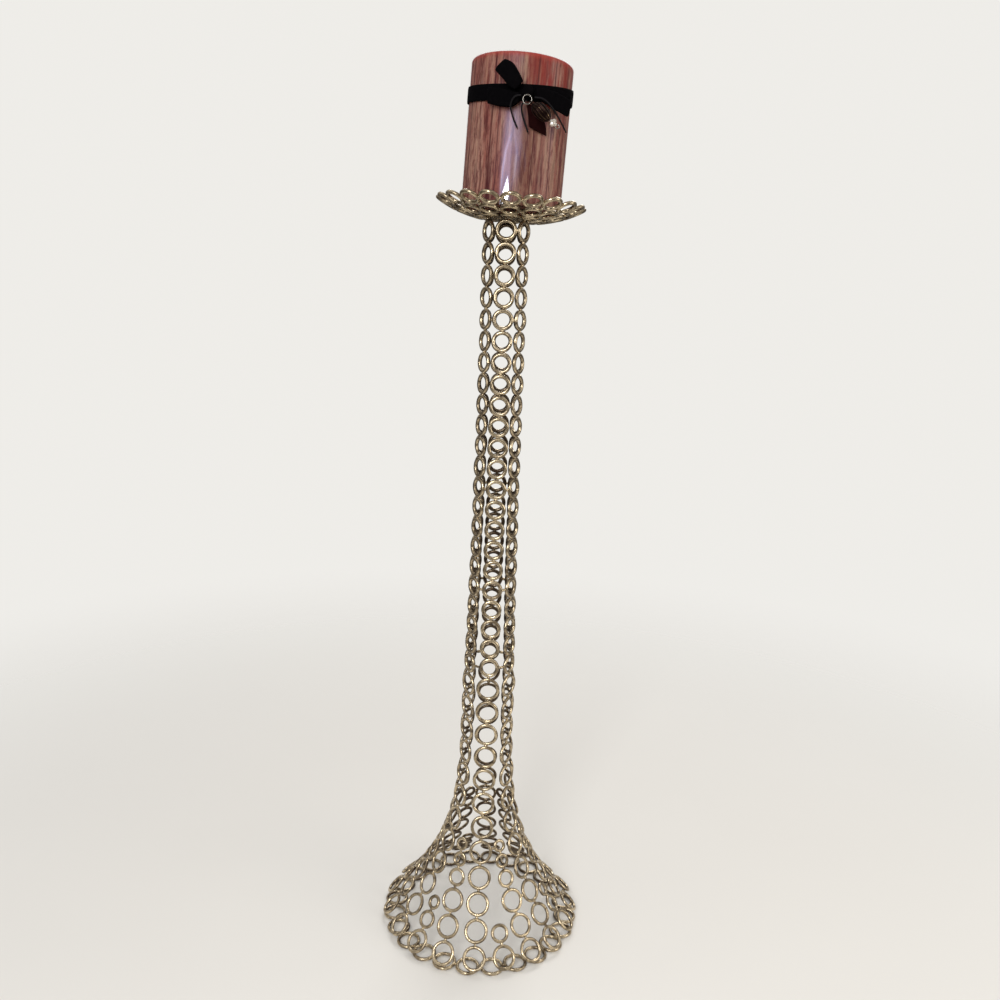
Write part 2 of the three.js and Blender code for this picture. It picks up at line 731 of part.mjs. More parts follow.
const bronze = { color: 0x8c7a55, roughness: 0.32, metalness: 0.9 };
const floorBronze = { color: 0x80704e, roughness: 0.38, metalness: 0.9 };
const wax = { color: 0x97604f, roughness: 0.6, metalness: 0 };
const film = { color: 0xd9cfe0, roughness: 0.12, metalness: 0, transparent: true, opacity: 0.25 };
const wickCotton = { color: 0xd8cfb8, roughness: 0.9, metalness: 0 };
const velvet = { color: 0x0b0a0c, roughness: 0.95, metalness: 0 };
const burgundy = { color: 0x2e0c10, roughness: 0.9, metalness: 0 };
const cord = { color: 0x121012, roughness: 0.8, metalness: 0 };
const silver = { color: 0xb9b4ac, roughness: 0.25, metalness: 1 };
const beadBrass = { color: 0x7a5a3c, roughness: 0.3, metalness: 0.9 };
const crystal = { color: 0xe8e2d6, roughness: 0.08, metalness: 0.1 };

const root = new THREE.Group();

// The dish, and the candle on it, lean to the right about the middle of the column's top.
const top = new THREE.Group();
const onColumn = new THREE.Vector3(0, 0, COLUMN_TOP);
top.rotation.y = TOP_LEAN * RAD;
top.position.copy(onColumn).sub(onColumn.clone().applyEuler(top.rotation));
top.position.add(new THREE.Vector3(TOP_SHIFT, 0, TOP_LIFT));
root.add(top);

function place(name, geometry, finish, group = root) {
  const mesh = new THREE.Mesh(geometry, new THREE.MeshStandardMaterial(finish));
  mesh.name = name;
  group.add(mesh);
}

const SIDES = ['front', 'front_right', 'back_right', 'back', 'back_left', 'front_left'];
const SECTORS = ['right_of_front', 'right', 'right_of_back', 'left_of_back', 'left', 'left_of_front'];

SIDES.forEach((side, i) => {
  place(`column_stack_${side}`, columnStack(STACK_AZIMUTHS[i]), bronze);
  place(`flare_leg_${side}`, flareLeg(i), bronze);
});
SECTORS.forEach((sector, i) => {
  place(`flare_infill_${sector}`, infillStack(i), bronze);
  place(`foot_filler_${sector}`, footFiller(i), bronze);
});
place('foot_ring_row', footRow(), floorBronze);
dishRows().forEach(([name, geometry]) => place(name, geometry, bronze, top));

place('candle_wax', candleWax(), wax, top);
place('candle_wick', candleWick(), wickCotton, top);
place('candle_wrap', candleWrap(), film, top);
place('ribbon_band', ribbonBand(), velvet, top);
place('bow_knot', bowKnot(), velvet, top);
place('bow_loop_upper', bowLoopUpper(), velvet, top);
place('bow_loop_right', bowLoopRight(), velvet, top);
place('bow_loop_left', bowLoopLeft(), velvet, top);
place('ribbon_tail', ribbonTail(), burgundy, top);
const cordRoute = CANDLE_RADIUS + 2.2;
const cordPoints = {
  left: [[1, 893, 64], [-5, 891, 64], [-8, 884, 61.5], [-5, 875, 55.5], [-0.3, 866.5, cordRoute]],
  middle: [[6.5, 890.4, 58], [2.4, 885.4, 57.5], [4, 877, 55], [10.3, 863.3, cordRoute]],
  right: [[13.5, 892.5, 63], [22, 892, 64], [31, 886, 64], [40, 877.5, 60], [47, 871, 56]],
};
for (const [side, points] of Object.entries(cordPoints)) {
  place(`cord_tail_${side}`, cordTail(points), cord, top);
}
place('charm_ring', charmRing(), silver, top);
place('charm_bead', charmBead(), beadBrass, top);
place('charm_crystals', charmCrystals(), crystal, top);
place('charm_end_ring', charmEndRing(), silver, top);

export default root;
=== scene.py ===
import math
from collections import namedtuple

import bpy
import numpy as np
from mathutils import Matrix, Vector


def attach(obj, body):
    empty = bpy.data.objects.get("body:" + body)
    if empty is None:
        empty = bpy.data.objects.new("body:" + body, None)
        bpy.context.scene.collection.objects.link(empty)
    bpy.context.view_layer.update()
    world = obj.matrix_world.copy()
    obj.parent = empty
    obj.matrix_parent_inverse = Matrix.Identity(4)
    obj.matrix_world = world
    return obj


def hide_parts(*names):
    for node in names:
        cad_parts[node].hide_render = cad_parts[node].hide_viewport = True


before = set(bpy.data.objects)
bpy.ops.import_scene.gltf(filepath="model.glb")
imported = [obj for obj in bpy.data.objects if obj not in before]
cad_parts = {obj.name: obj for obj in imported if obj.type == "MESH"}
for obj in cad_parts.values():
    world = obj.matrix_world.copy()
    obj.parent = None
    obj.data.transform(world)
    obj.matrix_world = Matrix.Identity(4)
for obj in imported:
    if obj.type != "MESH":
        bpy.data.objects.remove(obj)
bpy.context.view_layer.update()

# ---------------------------------------------------------------- studio
# The stand is seen from straight in front, from two thirds of its height, with the camera looking a
# little down and turned a little anticlockwise. It stands on a plain pale floor in soft light: a tall
# lamp in front on the left, a weaker one on the right, and one high up behind.

SENSOR_WIDTH = 36  # millimetres, as is the lens's focal length
FOCAL_LENGTH = 31.86
CAMERA_PLACE = (0.0046, -0.939, 0.689)
CAMERA_TILT = 78.5  # degrees up from looking straight down
CAMERA_ROLL = 2.3
LAMP_AIM = Vector((0, 0, 0.5))
WARM_WHITE = (1.0, 0.96, 0.9)


def set_camera():
    """The camera's turn is its roll about its own line of sight, then its tilt."""
    lens = bpy.data.cameras.new("camera")
    lens.sensor_width, lens.lens = SENSOR_WIDTH, FOCAL_LENGTH
    camera = bpy.data.objects.new("camera", lens)
    tilt = Matrix.Rotation(math.radians(CAMERA_TILT), 4, "X")
    roll = Matrix.Rotation(math.radians(CAMERA_ROLL), 4, "Z")
    camera.matrix_world = Matrix.Translation(CAMERA_PLACE) @ tilt @ roll
    bpy.context.scene.collection.objects.link(camera)
    bpy.context.scene.camera = camera


def add_lamp(name, azimuth, distance, height, size, watts, colour=(1.0, 1.0, 1.0)):
    """A rectangular lamp at an azimuth counted from the front to the right, turned to the stand."""
    lamp = bpy.data.lights.new(name, "AREA")
    lamp.shape = "RECTANGLE"
    lamp.size, lamp.size_y = size
    lamp.energy = watts
    lamp.color = colour
    holder = bpy.data.objects.new(name, lamp)
    turn = math.radians(azimuth)
    holder.location = (math.sin(turn) * distance, -math.cos(turn) * distance, height)
    holder.rotation_euler = (LAMP_AIM - holder.location).to_track_quat("-Z", "Y").to_euler()
    bpy.context.scene.collection.objects.link(holder)


class Value:
    """A shader socket that takes part in plain arithmetic. Each operation adds one Math node."""

    def __init__(self, tree, socket):
        self.tree, self.socket = tree, socket

    def math(self, operation, *others, clamp=False):
        node = self.tree.nodes.new("ShaderNodeMath")
        node.operation = operation
        node.use_clamp = clamp
        for slot, value in zip(node.inputs, (self, *others)):
            connect(self.tree, slot, value)
        return Value(self.tree, node.outputs[0])

    def __add__(self, other):
        return self.math("ADD", other)

    def __mul__(self, other):
        return self.math("MULTIPLY", other)

    def __sub__(self, other):
        return self.math("SUBTRACT", other)

    def __rsub__(self, other):
        return (self * -1) + other

    def __truediv__(self, other):
        return self.math("DIVIDE", other)

    def __pow__(self, other):
        return self.math("POWER", other)

    def held(self):
        """The value kept between 0 and 1."""
        return self.math("ADD", 0.0, clamp=True)


def connect(tree, slot, value):
    """Links a value to a slot, or sets the slot to a plain number or colour."""
    if isinstance(value, Value):
        tree.links.new(value.socket, slot)
    elif isinstance(value, tuple) and len(value) == 3 and slot.type == "RGBA":
        slot.default_value = (*value, 1.0)
    else:
        slot.default_value = value


class Finish:
    """A node tree with a few short ways to add to it. A material's tree has one Principled shader."""

    def __init__(self, tree):
        self.tree = tree
        self.shader = tree.nodes.get("Principled BSDF")

    def node(self, kind, settings, output=0, **inputs):
        """Any node: its settings first, then its sockets by name, with blanks written as _."""
        made = self.tree.nodes.new(kind)
        for name, value in settings.items():
            setattr(made, name, value)
        for name, value in inputs.items():
            found = [s for s in made.inputs if s.name.replace(" ", "_") == name and s.enabled]
            connect(self.tree, found[0], value)
        return Value(self.tree, made.outputs[output])

    def stretched(self, place, stretch):
        return self.node("ShaderNodeMapping", {}, Vector=place, Scale=stretch)

    def coordinates(self, stretch=(1.0, 1.0, 1.0)):
        """The place on the piece, stretched along x, y and z."""
        return self.stretched(self.node("ShaderNodeTexCoord", {}, "Object"), stretch)

    def attribute(self, name):
        return self.node("ShaderNodeAttribute", {"attribute_name": name}, "Fac")

    def noise(self, place, scale, detail=3.0, roughness=0.5):
        return self.node("ShaderNodeTexNoise", {}, Vector=place, Scale=scale, Detail=detail,
                         Roughness=roughness)

    def ramp(self, value, low, high):
        """0 below low, 1 above high, and a smooth rise between them."""
        shape = {"interpolation_type": "SMOOTHSTEP", "clamp": True}
        return self.node("ShaderNodeMapRange", shape, Value=value, From_Min=low, From_Max=high)

    def mix(self, share, first, second):
        """A colour part of the way from the first to the second."""
        made = self.tree.nodes.new("ShaderNodeMix")
        made.data_type = "RGBA"
        connect(self.tree, made.inputs[0], share)
        connect(self.tree, made.inputs[6], first)
        connect(self.tree, made.inputs[7], second)
        return Value(self.tree, made.outputs[2])

    def bump(self, height, distance, strength=1.0):
        made = self.node("ShaderNodeBump", {}, 0, Height=height, Distance=distance, Strength=strength)
        self.set(Normal=made)

    def set(self, **inputs):
        for name, value in inputs.items():
            connect(self.tree, self.shader.inputs[name.replace("_", " ")], value)


def new_finish(name):
    material = bpy.data.materials.new(name)
    material.use_nodes = True
    return material, Finish(material.node_tree)


def seen_directly(finish):
    """1 for what the camera sees straight or through glass, and 0 for light on things."""
    path = finish.tree.nodes.new("ShaderNodeLightPath")
    seen = Value(finish.tree, path.outputs["Is Camera Ray"])
    return seen.math("MAXIMUM", Value(finish.tree, path.outputs["Is Transmission Ray"]))


def set_room():
    """The room is a pale backdrop where it is seen. Where it only lights, it is dim at the height of
    the floor and brighter overhead, so that the metal has something dark and light to mirror."""
    world = bpy.data.worlds.new("room")
    world.use_nodes = True
    bpy.context.scene.world = world
    room = Finish(world.node_tree)
    backdrop = (0.86, 0.845, 0.81)
    dim, bright = (0.13, 0.12, 0.11), (0.62, 0.61, 0.60)
    direction = room.node("ShaderNodeTexCoord", {}, "Generated")
    upwards = room.node("ShaderNodeSeparateXYZ", {}, "Z", Vector=direction)
    soft_light = room.mix(room.ramp(upwards, -0.1, 0.8), dim, bright)
    background = world.node_tree.nodes["Background"]
    connect(world.node_tree, background.inputs["Color"], room.mix(seen_directly(room), soft_light, backdrop))


def full_turn(steps):
    """The angles of a full turn in even steps, from 0 on."""
    return 2 * math.pi * np.arange(steps) / steps


def lay_floor():
    """A flat disc of pale paper, a little lighter and darker in broad soft patches. Away from the stand
    it thins out into the backdrop, so that no edge shows."""
    floor_radius = 6.0
    fade_start, fade_end = 0.3, 1.5
    turn = full_turn(96)
    rim = np.stack([np.cos(turn), np.sin(turn), 0 * turn], -1) * floor_radius
    mesh = bpy.data.meshes.new("floor")
    mesh.from_pydata(rim.tolist(), [], [list(range(len(rim)))])
    floor = bpy.data.objects.new("floor", mesh)
    bpy.context.scene.collection.objects.link(floor)
    material, paper = new_finish("floor_paper")
    cloud = paper.noise(paper.coordinates(), 2.0)
    paper.set(Base_Color=paper.mix(cloud, (0.74, 0.72, 0.68), (0.78, 0.76, 0.72)), Roughness=0.85)
    away = paper.node("ShaderNodeVectorMath", {"operation": "LENGTH"}, "Value", Vector=paper.coordinates())
    paper.set(Alpha=1 - paper.ramp(away, fade_start, fade_end))
    mesh.materials.append(material)


bpy.context.scene.view_settings.view_transform = "Standard"
set_camera()
add_lamp("front_lamp", azimuth=-15, distance=1.5, height=1.12, size=(0.45, 0.9), watts=15)
add_lamp("right_lamp", azimuth=65, distance=1.5, height=0.8, size=(0.9, 0.9), watts=7, colour=WARM_WHITE)
add_lamp("back_lamp", azimuth=170, distance=1.3, height=1.7, size=(1.0, 0.6), watts=12)
set_room()
lay_floor()

# ---------------------------------------------------------------- cord ends
# Three ends of thin black cord hang from the knot of the bow and lie against the candle's front. The
# cord is waxed cotton, 1.6 mm thick. Two of them hang on the left of the charm and one on the right.
# Like all that stands on the column, they are shaped upright and then leaned with the dish.

COLUMN_TOP = 0.788
TOP_LEAN = math.radians(2.8)
TOP_SHIFT = (0.003, 0, 0.0002)  # to the right of the column's axis, and up
CANDLE_RADIUS = 0.051  # outside of the clear film
CORD_THICK = 0.0016
CORD_ROUTE = CANDLE_RADIUS + 0.0022
CORD_SAMPLES = 24
CORD_SIDES = 8
RIGHT, BACK, UP = np.eye(3)


def before_candle(x, z, distance):
    """Points at a distance from the candle's axis, straight out from the places (x, z) of its front."""
    x, z, distance = np.broadcast_arrays(*(np.asarray(a, float) for a in (x, z, distance)))
    return np.stack([x, -np.sqrt(distance**2 - x**2), z], -1)


def smooth_line(points, samples):
    """A line through all the points: between two of them it is a cubic whose slope at each point is
    half the way from the point before to the point after."""
    points = np.asarray(points, float)
    ends = 2 * points[[0, -1]] - points[[1, -2]]
    padded = np.concatenate([ends[:1], points, ends[1:]])
    along = np.linspace(0, len(points) - 1, samples)
    first = np.minimum(along.astype(int), len(points) - 2)
    t = (along - first)[:, None]
    a, b, c, d = (padded[first + k] for k in range(4))
    rise = (c - a) + (2 * a - 5 * b + 4 * c - d) * t + (3 * b - a - 3 * c + d) * t**2
    return b + 0.5 * t * rise


def tipped(vectors):
    """Directions turned about the front-to-back axis by the dish's lean, the right side down."""
    x, y, z = np.moveaxis(np.asarray(vectors, float), -1, 0)
    cos, sin = math.cos(TOP_LEAN), math.sin(TOP_LEAN)
    return np.stack([x * cos + z * sin, y, z * cos - x * sin], -1)


def leaned(points):
    """Points leaned with the dish about the middle of the column's top."""
    middle = np.array([0, 0, COLUMN_TOP])
    return middle + tipped(points - middle) + np.array(TOP_SHIFT)


def unit(vectors):
    return vectors / np.linalg.norm(vectors, axis=-1, keepdims=True)


def grid_faces(rows, columns, wrap_rows, wrap_columns):
    """Quads between neighbouring rows and columns of a grid of points."""
    i = np.arange(rows if wrap_rows else rows - 1)[:, None]
    j = np.arange(columns if wrap_columns else columns - 1)[None, :]
    i_next, j_next = (i + 1) % rows, (j + 1) % columns
    corners = [i * columns + j, i_next * columns + j, i_next * columns + j_next, i * columns + j_next]
    return np.stack([np.broadcast_to(c, (len(i), j.size)) for c in corners], -1).reshape(-1, 4)


def capped_faces(rows, columns):
    """The quads of a grid whose columns close up, and a fan over either end. The middles of the fans
    are the two points that follow the grid's own."""
    j = np.arange(columns)
    j_next = (j + 1) % columns
    last = (rows - 1) * columns
    start, end = rows * columns + 0 * j, rows * columns + 1 + 0 * j
    fans = np.concatenate([np.stack([j, j_next, start], -1), np.stack([last + j_next, last + j, end], -1)])
    return grid_faces(rows, columns, False, True).tolist() + fans.tolist()


def carried(line, side, face, profile, closed=False):
    """A profile carried along a line: each of its points is the line's point, plus its first number
    times the side direction, plus its second times the face direction. The directions and the
    profile are given once, or for each point of the line. Open ends are closed by a fan."""
    profile = np.broadcast_to(profile, (len(line), *np.shape(profile)[-2:]))
    side, face = (np.broadcast_to(way, line.shape)[:, None] for way in (side, face))
    skin = line[:, None] + profile[..., :1] * side + profile[..., 1:] * face
    rows, columns = skin.shape[:2]
    points = skin.reshape(-1, 3)
    if closed:
        return points, grid_faces(rows, columns, True, True).tolist()
    middles = np.stack([skin[0].mean(0), skin[-1].mean(0)])
    return np.concatenate([points, middles]), capped_faces(rows, columns)


def new_piece(name, points, faces, material, smooth=True, **values):
    """A mesh object at the origin. Each value is a number for every point, kept as an attribute."""
    mesh = bpy.data.meshes.new(name)
    mesh.from_pydata(points.tolist(), [], faces)
    mesh.polygons.foreach_set("use_smooth", np.full(len(mesh.polygons), smooth))
    for value_name, numbers in values.items():
        layer = mesh.attributes.new(value_name, "FLOAT", "POINT")
        layer.data.foreach_set("value", np.asarray(numbers, np.float32))
    mesh.materials.append(material)
    piece = bpy.data.objects.new(name, mesh)
    bpy.context.scene.collection.objects.link(piece)
    return piece


def fit(piece, body, slot, *nodes):
    """The piece stands for the nodes and moves with the body; the slot is not used. What
    belongs to the candle or the charm leans with it."""
    if body != "stand":
        points = np.empty(3 * len(piece.data.vertices))
        piece.data.vertices.foreach_get("co", points)
        piece.data.vertices.foreach_set("co", leaned(points.reshape(-1, 3)).ravel())
        piece.data.update()
    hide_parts(*nodes)
    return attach(piece, body)


def circle(radius, steps):
    """Points round a circle, which start at the side direction and go away from the face direction."""
    turn = -full_turn(steps)
    return np.stack([radius * np.cos(turn), radius * np.sin(turn)], -1)


def frames_along(line):
    """A side and a face direction for each point of a line, square to it and to each other."""
    ahead = unit(np.gradient(line, axis=0))
    outwards = line * (1, 1, 0)
    side = unit(np.cross(ahead, outwards))
    return side, unit(np.cross(ahead, side))


def waxed_cord():
    material, finish = new_finish("black_waxed_cord")
    twist = finish.noise(finish.coordinates((1, 1, 2.5)), 900)
    finish.set(Base_Color=finish.mix(twist, (0.003, 0.0025, 0.003), (0.012, 0.010, 0.012)))
    finish.set(Roughness=0.7, Specular_IOR_Level=0.15)
    finish.bump(twist, 0.0002)
    return material


CORD_ENDS = {  # each through the places (x, z, distance from the candle's axis)
    "left": [(0.001, 0.893, 0.064), (-0.005, 0.891, 0.064), (-0.008, 0.884, 0.0615),
             (-0.005, 0.875, 0.0555), (-0.0003, 0.8665, CORD_ROUTE)],
    "middle": [(0.0065, 0.8904, 0.058), (0.0024, 0.8854, 0.0575), (0.004, 0.877, 0.055),
               (0.0103, 0.8633, CORD_ROUTE)],
    "right": [(0.0135, 0.8925, 0.063), (0.022, 0.892, 0.064), (0.031, 0.886, 0.064),
              (0.040, 0.8775, 0.060), (0.047, 0.871, 0.056)],
}
cord_material = waxed_cord()
for which, places in CORD_ENDS.items():
    route = smooth_line(before_candle(*zip(*places)), CORD_SAMPLES)
    skin = carried(route, *frames_along(route), circle(CORD_THICK / 2, CORD_SIDES))
    cord_end = new_piece(f"cord_end_{which}", *skin, cord_material)
    fit(cord_end, "candle", "black_cord", f"cord_tail_{which}")
    lying = leaned(route)
    length = np.linalg.norm(np.diff(lying, axis=0), axis=1).sum()

# ---------------------------------------------------------------- column
# The column is 132 small rings of round steel wire, welded one on top of the other into six upright
# stacks. The stacks stand in a hexagon and spread slowly towards the foot. Here and there a weld ties a
# ring to the next stack. All rings have an aged champagne bronze lacquer, redder round the welds.

WIRE = 0.0036
THICK_WIRE = 0.0042  # in the column and the dish
RING_STEPS = 24
WIRE_STEPS = 8
COLUMN_PITCH = 0.022
COLUMN_RINGS = 22
NECK_Z = 0.290
TOP_APOTHEM = 0.0205
NECK_APOTHEM = 0.0257
SIDES = ["front", "front_right", "back_right", "back", "back_left", "front_left"]
TIED_RINGS = [0, 4, 8, 12, 17, 21]  # counted from the top
RING_BITE = 0.0001  # how far a ring reaches past the middle between it and the next
BEND_SPREAD = np.array([0.014, 0.007])  # of a ring's radius, twice and three times round it
LEAN_SPREAD = 0.022
STACK_WELD_DEPTH = 0.45  # a weld in a stack starts this deep in its wires, in wire thicknesses
TIE_WELD_START = 0.3  # any other weld starts this far out from its wires' middles
WELD_GIRTH = (0.0029, 0.0038)
WELD_LUMPS = 0.07
HEAT_REACH = 0.0032
dice = np.random.default_rng(41)

Rings = namedtuple("Rings", "centre out side radius wire")


def outward(azimuth):
    """The level direction away from the axis at an azimuth in degrees from the front."""
    turn = np.radians(azimuth)
    return np.stack([np.sin(turn), -np.cos(turn), 0 * turn], -1)


def sideways(azimuth):
    """The level direction to the right-hand neighbour at an azimuth."""
    turn = np.radians(azimuth)
    return np.stack([np.cos(turn), np.sin(turn), 0 * turn], -1)


def on_path(z, azimuth_at, radius_at):
    """The point of a stack's curve at each height."""
    z = np.asarray(z, float)
    return outward(azimuth_at(z)) * np.expand_dims(radius_at(z), -1) + np.expand_dims(z, -1) * (0, 0, 1)


def upright_rings(z, azimuth_at, radius_at, ring_radius, wire=WIRE):
    """Rings that stand on a stack's curve: their plane holds the curve's own direction and the level
    direction across it."""
    step = 0.001
    up = unit(on_path(z + step, azimuth_at, radius_at) - on_path(z - step, azimuth_at, radius_at))
    side = sideways(azimuth_at(z))
    side = unit(side - up * (side * up).sum(-1, keepdims=True))
    sizes = (np.broadcast_to(size, z.shape) for size in (ring_radius, wire))
    return Rings(on_path(z, azimuth_at, radius_at), side, up, *sizes)


def column_radius(z):
    share = (COLUMN_TOP - z) / (COLUMN_TOP - NECK_Z)
    return TOP_APOTHEM + (NECK_APOTHEM - TOP_APOTHEM) * share**3


def spokes(start, quarter, turn):
    """Directions at each turn, from the start direction towards the one a quarter of a turn on."""
    return np.cos(turn)[:, None] * start[..., None, :] + np.sin(turn)[:, None] * quarter[..., None, :]


def bent_wires(rings, unevenness):
    """Each ring is a round wire carried round a circle: centre + reach (cos a · out + sin a · side),
    plus the wire's radius (cos b · that direction + sin b · the ring's axis). The reach varies with
    cos 2a and cos 3a, because the rings are bent by hand, and the plane leans a little. It returns the
    points and faces, a tone for each ring, and how far each point faces the stand's axis, which the
    finish paints as shade."""
    count = len(rings.centre)
    a, b = full_turn(RING_STEPS), full_turn(WIRE_STEPS)
    phases = dice.uniform(0, 2 * math.pi, (2, count, 1))
    ovals = dice.normal(0, 1, (2, count, 1)) * unevenness * BEND_SPREAD[:, None, None]
    uneven = ovals[0] * np.cos(2 * a - phases[0]) + ovals[1] * np.cos(3 * a - phases[1])
    reach = (rings.radius - rings.wire / 2)[:, None] * (1 + uneven)
    axis = np.cross(rings.out, rings.side)
    lean = dice.normal(0, LEAN_SPREAD, (2, count, 1)) * unevenness
    spoke = spokes(unit(rings.out + axis * lean[0]), unit(rings.side + axis * lean[1]), a)
    line = rings.centre[:, None] + reach[..., None] * spoke
    axis = np.cross(spoke, np.cross(axis[:, None], spoke))
    cos, sin = (wave[None, None, :, None] for wave in (np.cos(b), np.sin(b)))
    around = cos * spoke[:, :, None] + sin * axis[:, :, None]
    points = line[:, :, None] + rings.wire[:, None, None, None] / 2 * around
    tone = np.repeat(dice.uniform(0, 1, count), RING_STEPS * WIRE_STEPS)
    from_axis = unit(rings.centre * (1, 1, 0))[:, None, None]
    # how far each point faces the stand's axis, which the finish paints as shade
    inner = (0.5 - 0.5 * (around * from_axis).sum(-1)).ravel()
    faces = grid_faces(RING_STEPS, WIRE_STEPS, True, True).tolist()
    return points.reshape(count, -1, 3), faces, tone, inner


def ball(rows, columns):
    """A unit ball: circles of points about x, and a point at either pole."""
    a = math.pi * np.arange(1, rows) / rows
    b = full_turn(columns)
    circles = np.broadcast_arrays(np.cos(a)[:, None], np.sin(a)[:, None] * np.cos(b),
                                  np.sin(a)[:, None] * np.sin(b))
    points = np.concatenate([np.stack(circles, -1).reshape(-1, 3), [RIGHT, -RIGHT]])
    return points, capped_faces(rows - 1, columns)


def weld_beads(start, end, girth):
    """Each bead is a ball stretched from start to end, as thick as its girth, with a lumpy skin."""
    unit_points, faces = ball(6, 8)
    along = (end - start) / 2
    middle = (end + start) / 2
    least = np.eye(3)[np.abs(along).argmin(-1)]
    across = unit(np.cross(along, least))
    third = unit(np.cross(along, across))
    lumps = 1 + dice.normal(0, WELD_LUMPS, (len(start), len(unit_points), 1))
    local = unit_points[None] * lumps
    girth = girth[:, None, None] / 2
    points = middle[:, None] + local[..., :1] * along[:, None] + girth * (
        local[..., 1:2] * across[:, None] + local[..., 2:] * third[:, None])
    return points, faces


def between_neighbours(rings):
    """Where each ring of a stack is welded to the next: from inside one wire to inside the other."""
    here, there = rings.centre[:-1], rings.centre[1:]
    ahead = unit(there - here)
    depth = (rings.radius - STACK_WELD_DEPTH * rings.wire)[:, None]
    return here + ahead * depth[:-1], there - ahead * depth[1:]


def nearest_points(first, second):
    """For pairs of rings, the two nearest points of the circles that their wires' middles follow."""
    turn = full_turn(60)
    one, other = (rings.centre[:, None] + (rings.radius - rings.wire / 2)[:, None, None]
                  * spokes(rings.out, rings.side, turn) for rings in (first, second))
    apart = np.linalg.norm(one[:, :, None] - other[:, None], axis=-1).reshape(len(one), -1)
    nearest = apart.argmin(1)
    pair = np.arange(len(one))
    gap = apart[pair, nearest] - (first.wire + second.wire) / 2
    return one[pair, nearest // len(turn)], other[pair, nearest % len(turn)], gap


def pick(rings, which):
    return Rings(*(field[which] for field in rings))


def join(*groups):
    return Rings(*(np.concatenate(fields) for fields in zip(*groups)))


def bridge(start, end):
    """A weld from one wire's middle to another's starts inside the wires and shows between them."""
    ahead = unit(end - start)
    return start + ahead * TIE_WELD_START * WIRE, end - ahead * TIE_WELD_START * WIRE


def welds_across(own, others, widest):
    """Welds from rings to rings of other stacks, wherever their wires come near enough."""
    far = np.linalg.norm(own.centre[:, None] - others.centre[None], axis=-1)
    near = far < own.radius[:, None] + others.radius[None] + widest
    i, j = np.nonzero(near)
    if not len(i):
        return np.zeros((0, 3)), np.zeros((0, 3))
    start, end, gap = nearest_points(pick(own, i), pick(others, j))
    close = gap < widest
    return bridge(start[close], end[close])


def champagne_bronze():
    """Aged bronze lacquer on steel: pale and glossy where it is sound, brown and duller in patches,
    dark reddish round a weld, whose bead is bright, and darkest on the sides that face inwards, which is
    painted shade. Each ring has its own tone."""
    material, finish = new_finish("aged_champagne_bronze")
    place = finish.coordinates()
    patches = finish.ramp(finish.noise(place, 130, 4, 0.6), 0.38, 0.68)
    specks = finish.noise(place, 900, 2)
    heat = finish.attribute("heat")
    tone = finish.attribute("tone")
    pale = finish.mix(tone, (0.56, 0.45, 0.29), (0.76, 0.63, 0.43))
    aged = finish.mix(tone, (0.06, 0.036, 0.018), (0.11, 0.072, 0.038))
    metal = finish.mix((patches * 0.75 + tone * 0.15).held(), pale, aged)
    burnt = (heat * (specks * 0.9 + 0.35)).held()
    metal = finish.mix(burnt * 0.7, metal, (0.16, 0.075, 0.035))
    metal = finish.mix(finish.ramp(heat, 0.9, 1.0) * 0.8, metal, (0.80, 0.70, 0.54))
    # painted shade: the sides of the wires that face the stand's axis are darkened, a little unevenly
    inner = finish.ramp(finish.attribute("inner") + patches * 0.15, 0.5, 0.85)
    metal = finish.mix(inner * 0.8, metal, (0.04, 0.019, 0.011))
    finish.set(Base_Color=metal, Metallic=0.95)
    finish.set(Roughness=(patches * 0.16 + specks * 0.10 + heat * 0.12 + 0.17).held())
    finish.set(Coat_Weight=0.25, Coat_Roughness=0.15)
    finish.bump(finish.noise(place, 420, 2) + specks * 0.3, 0.00022, 0.6)
    return material


ring_metal = champagne_bronze()


def repeated(faces, copies, first=0):
    """The faces of every copy of a mesh, whose points are numbered on from the first number."""
    count, size = copies.shape[:2]
    return [[first + k * size + corner for corner in face] for k in range(count) for face in faces]


def bell(off, width):
    """1 in the middle, falling off smoothly to nearly 0 at twice the width."""
    return np.exp(-((off / width) ** 2))


def ring_piece(name, rings, welds, node, unevenness=1.0):
    """One piece of ring work: its wires and its weld beads. Heat falls off from the nearest weld."""
    wires, wire_faces, wire_tone, wire_inward_shade = bent_wires(rings, unevenness)
    start, end = (np.concatenate(ends) for ends in zip(*welds))
    beads, bead_faces = weld_beads(start, end, dice.uniform(*WELD_GIRTH, len(start)))
    points = np.concatenate([wires.reshape(-1, 3), beads.reshape(-1, 3)])
    points[:, 2] = np.maximum(points[:, 2], 0)
    faces = repeated(wire_faces, wires) + repeated(bead_faces, beads, len(wire_tone))
    middles = (start + end) / 2
    away = np.linalg.norm(points[:, None] - middles[None], axis=-1).min(1)
    bead_tone = np.repeat(dice.uniform(0, 1, len(beads)), beads.shape[1])
    tone = np.concatenate([wire_tone, bead_tone])
    # the share facing the stand's axis, for the painted shade; the weld beads get a middle value
    inner = np.concatenate([wire_inward_shade, np.full(len(bead_tone), 0.5)])
    heat = bell(away, HEAT_REACH)
    piece = new_piece(name, points, faces, ring_metal, tone=tone, heat=heat, inner=inner)
    return fit(piece, "stand", "ring_metal", node)


column_heights = COLUMN_TOP - (np.arange(COLUMN_RINGS) + 0.5) * COLUMN_PITCH
column_stacks = [
    upright_rings(column_heights, lambda z, a=60.0 * k: a + 0 * z, column_radius,
                  COLUMN_PITCH / 2 + RING_BITE, THICK_WIRE)
    for k in range(len(SIDES))
]
for k, side_name in enumerate(SIDES):
    stack, neighbour = column_stacks[k], column_stacks[(k + 1) % len(SIDES)]
    tie_start, tie_end, _ = nearest_points(pick(stack, TIED_RINGS), pick(neighbour, TIED_RINGS))
    stack_welds = [between_neighbours(stack), bridge(tie_start, tie_end)]
    ring_piece(f"column_{side_name}", stack, stack_welds, f"column_stack_{side_name}")

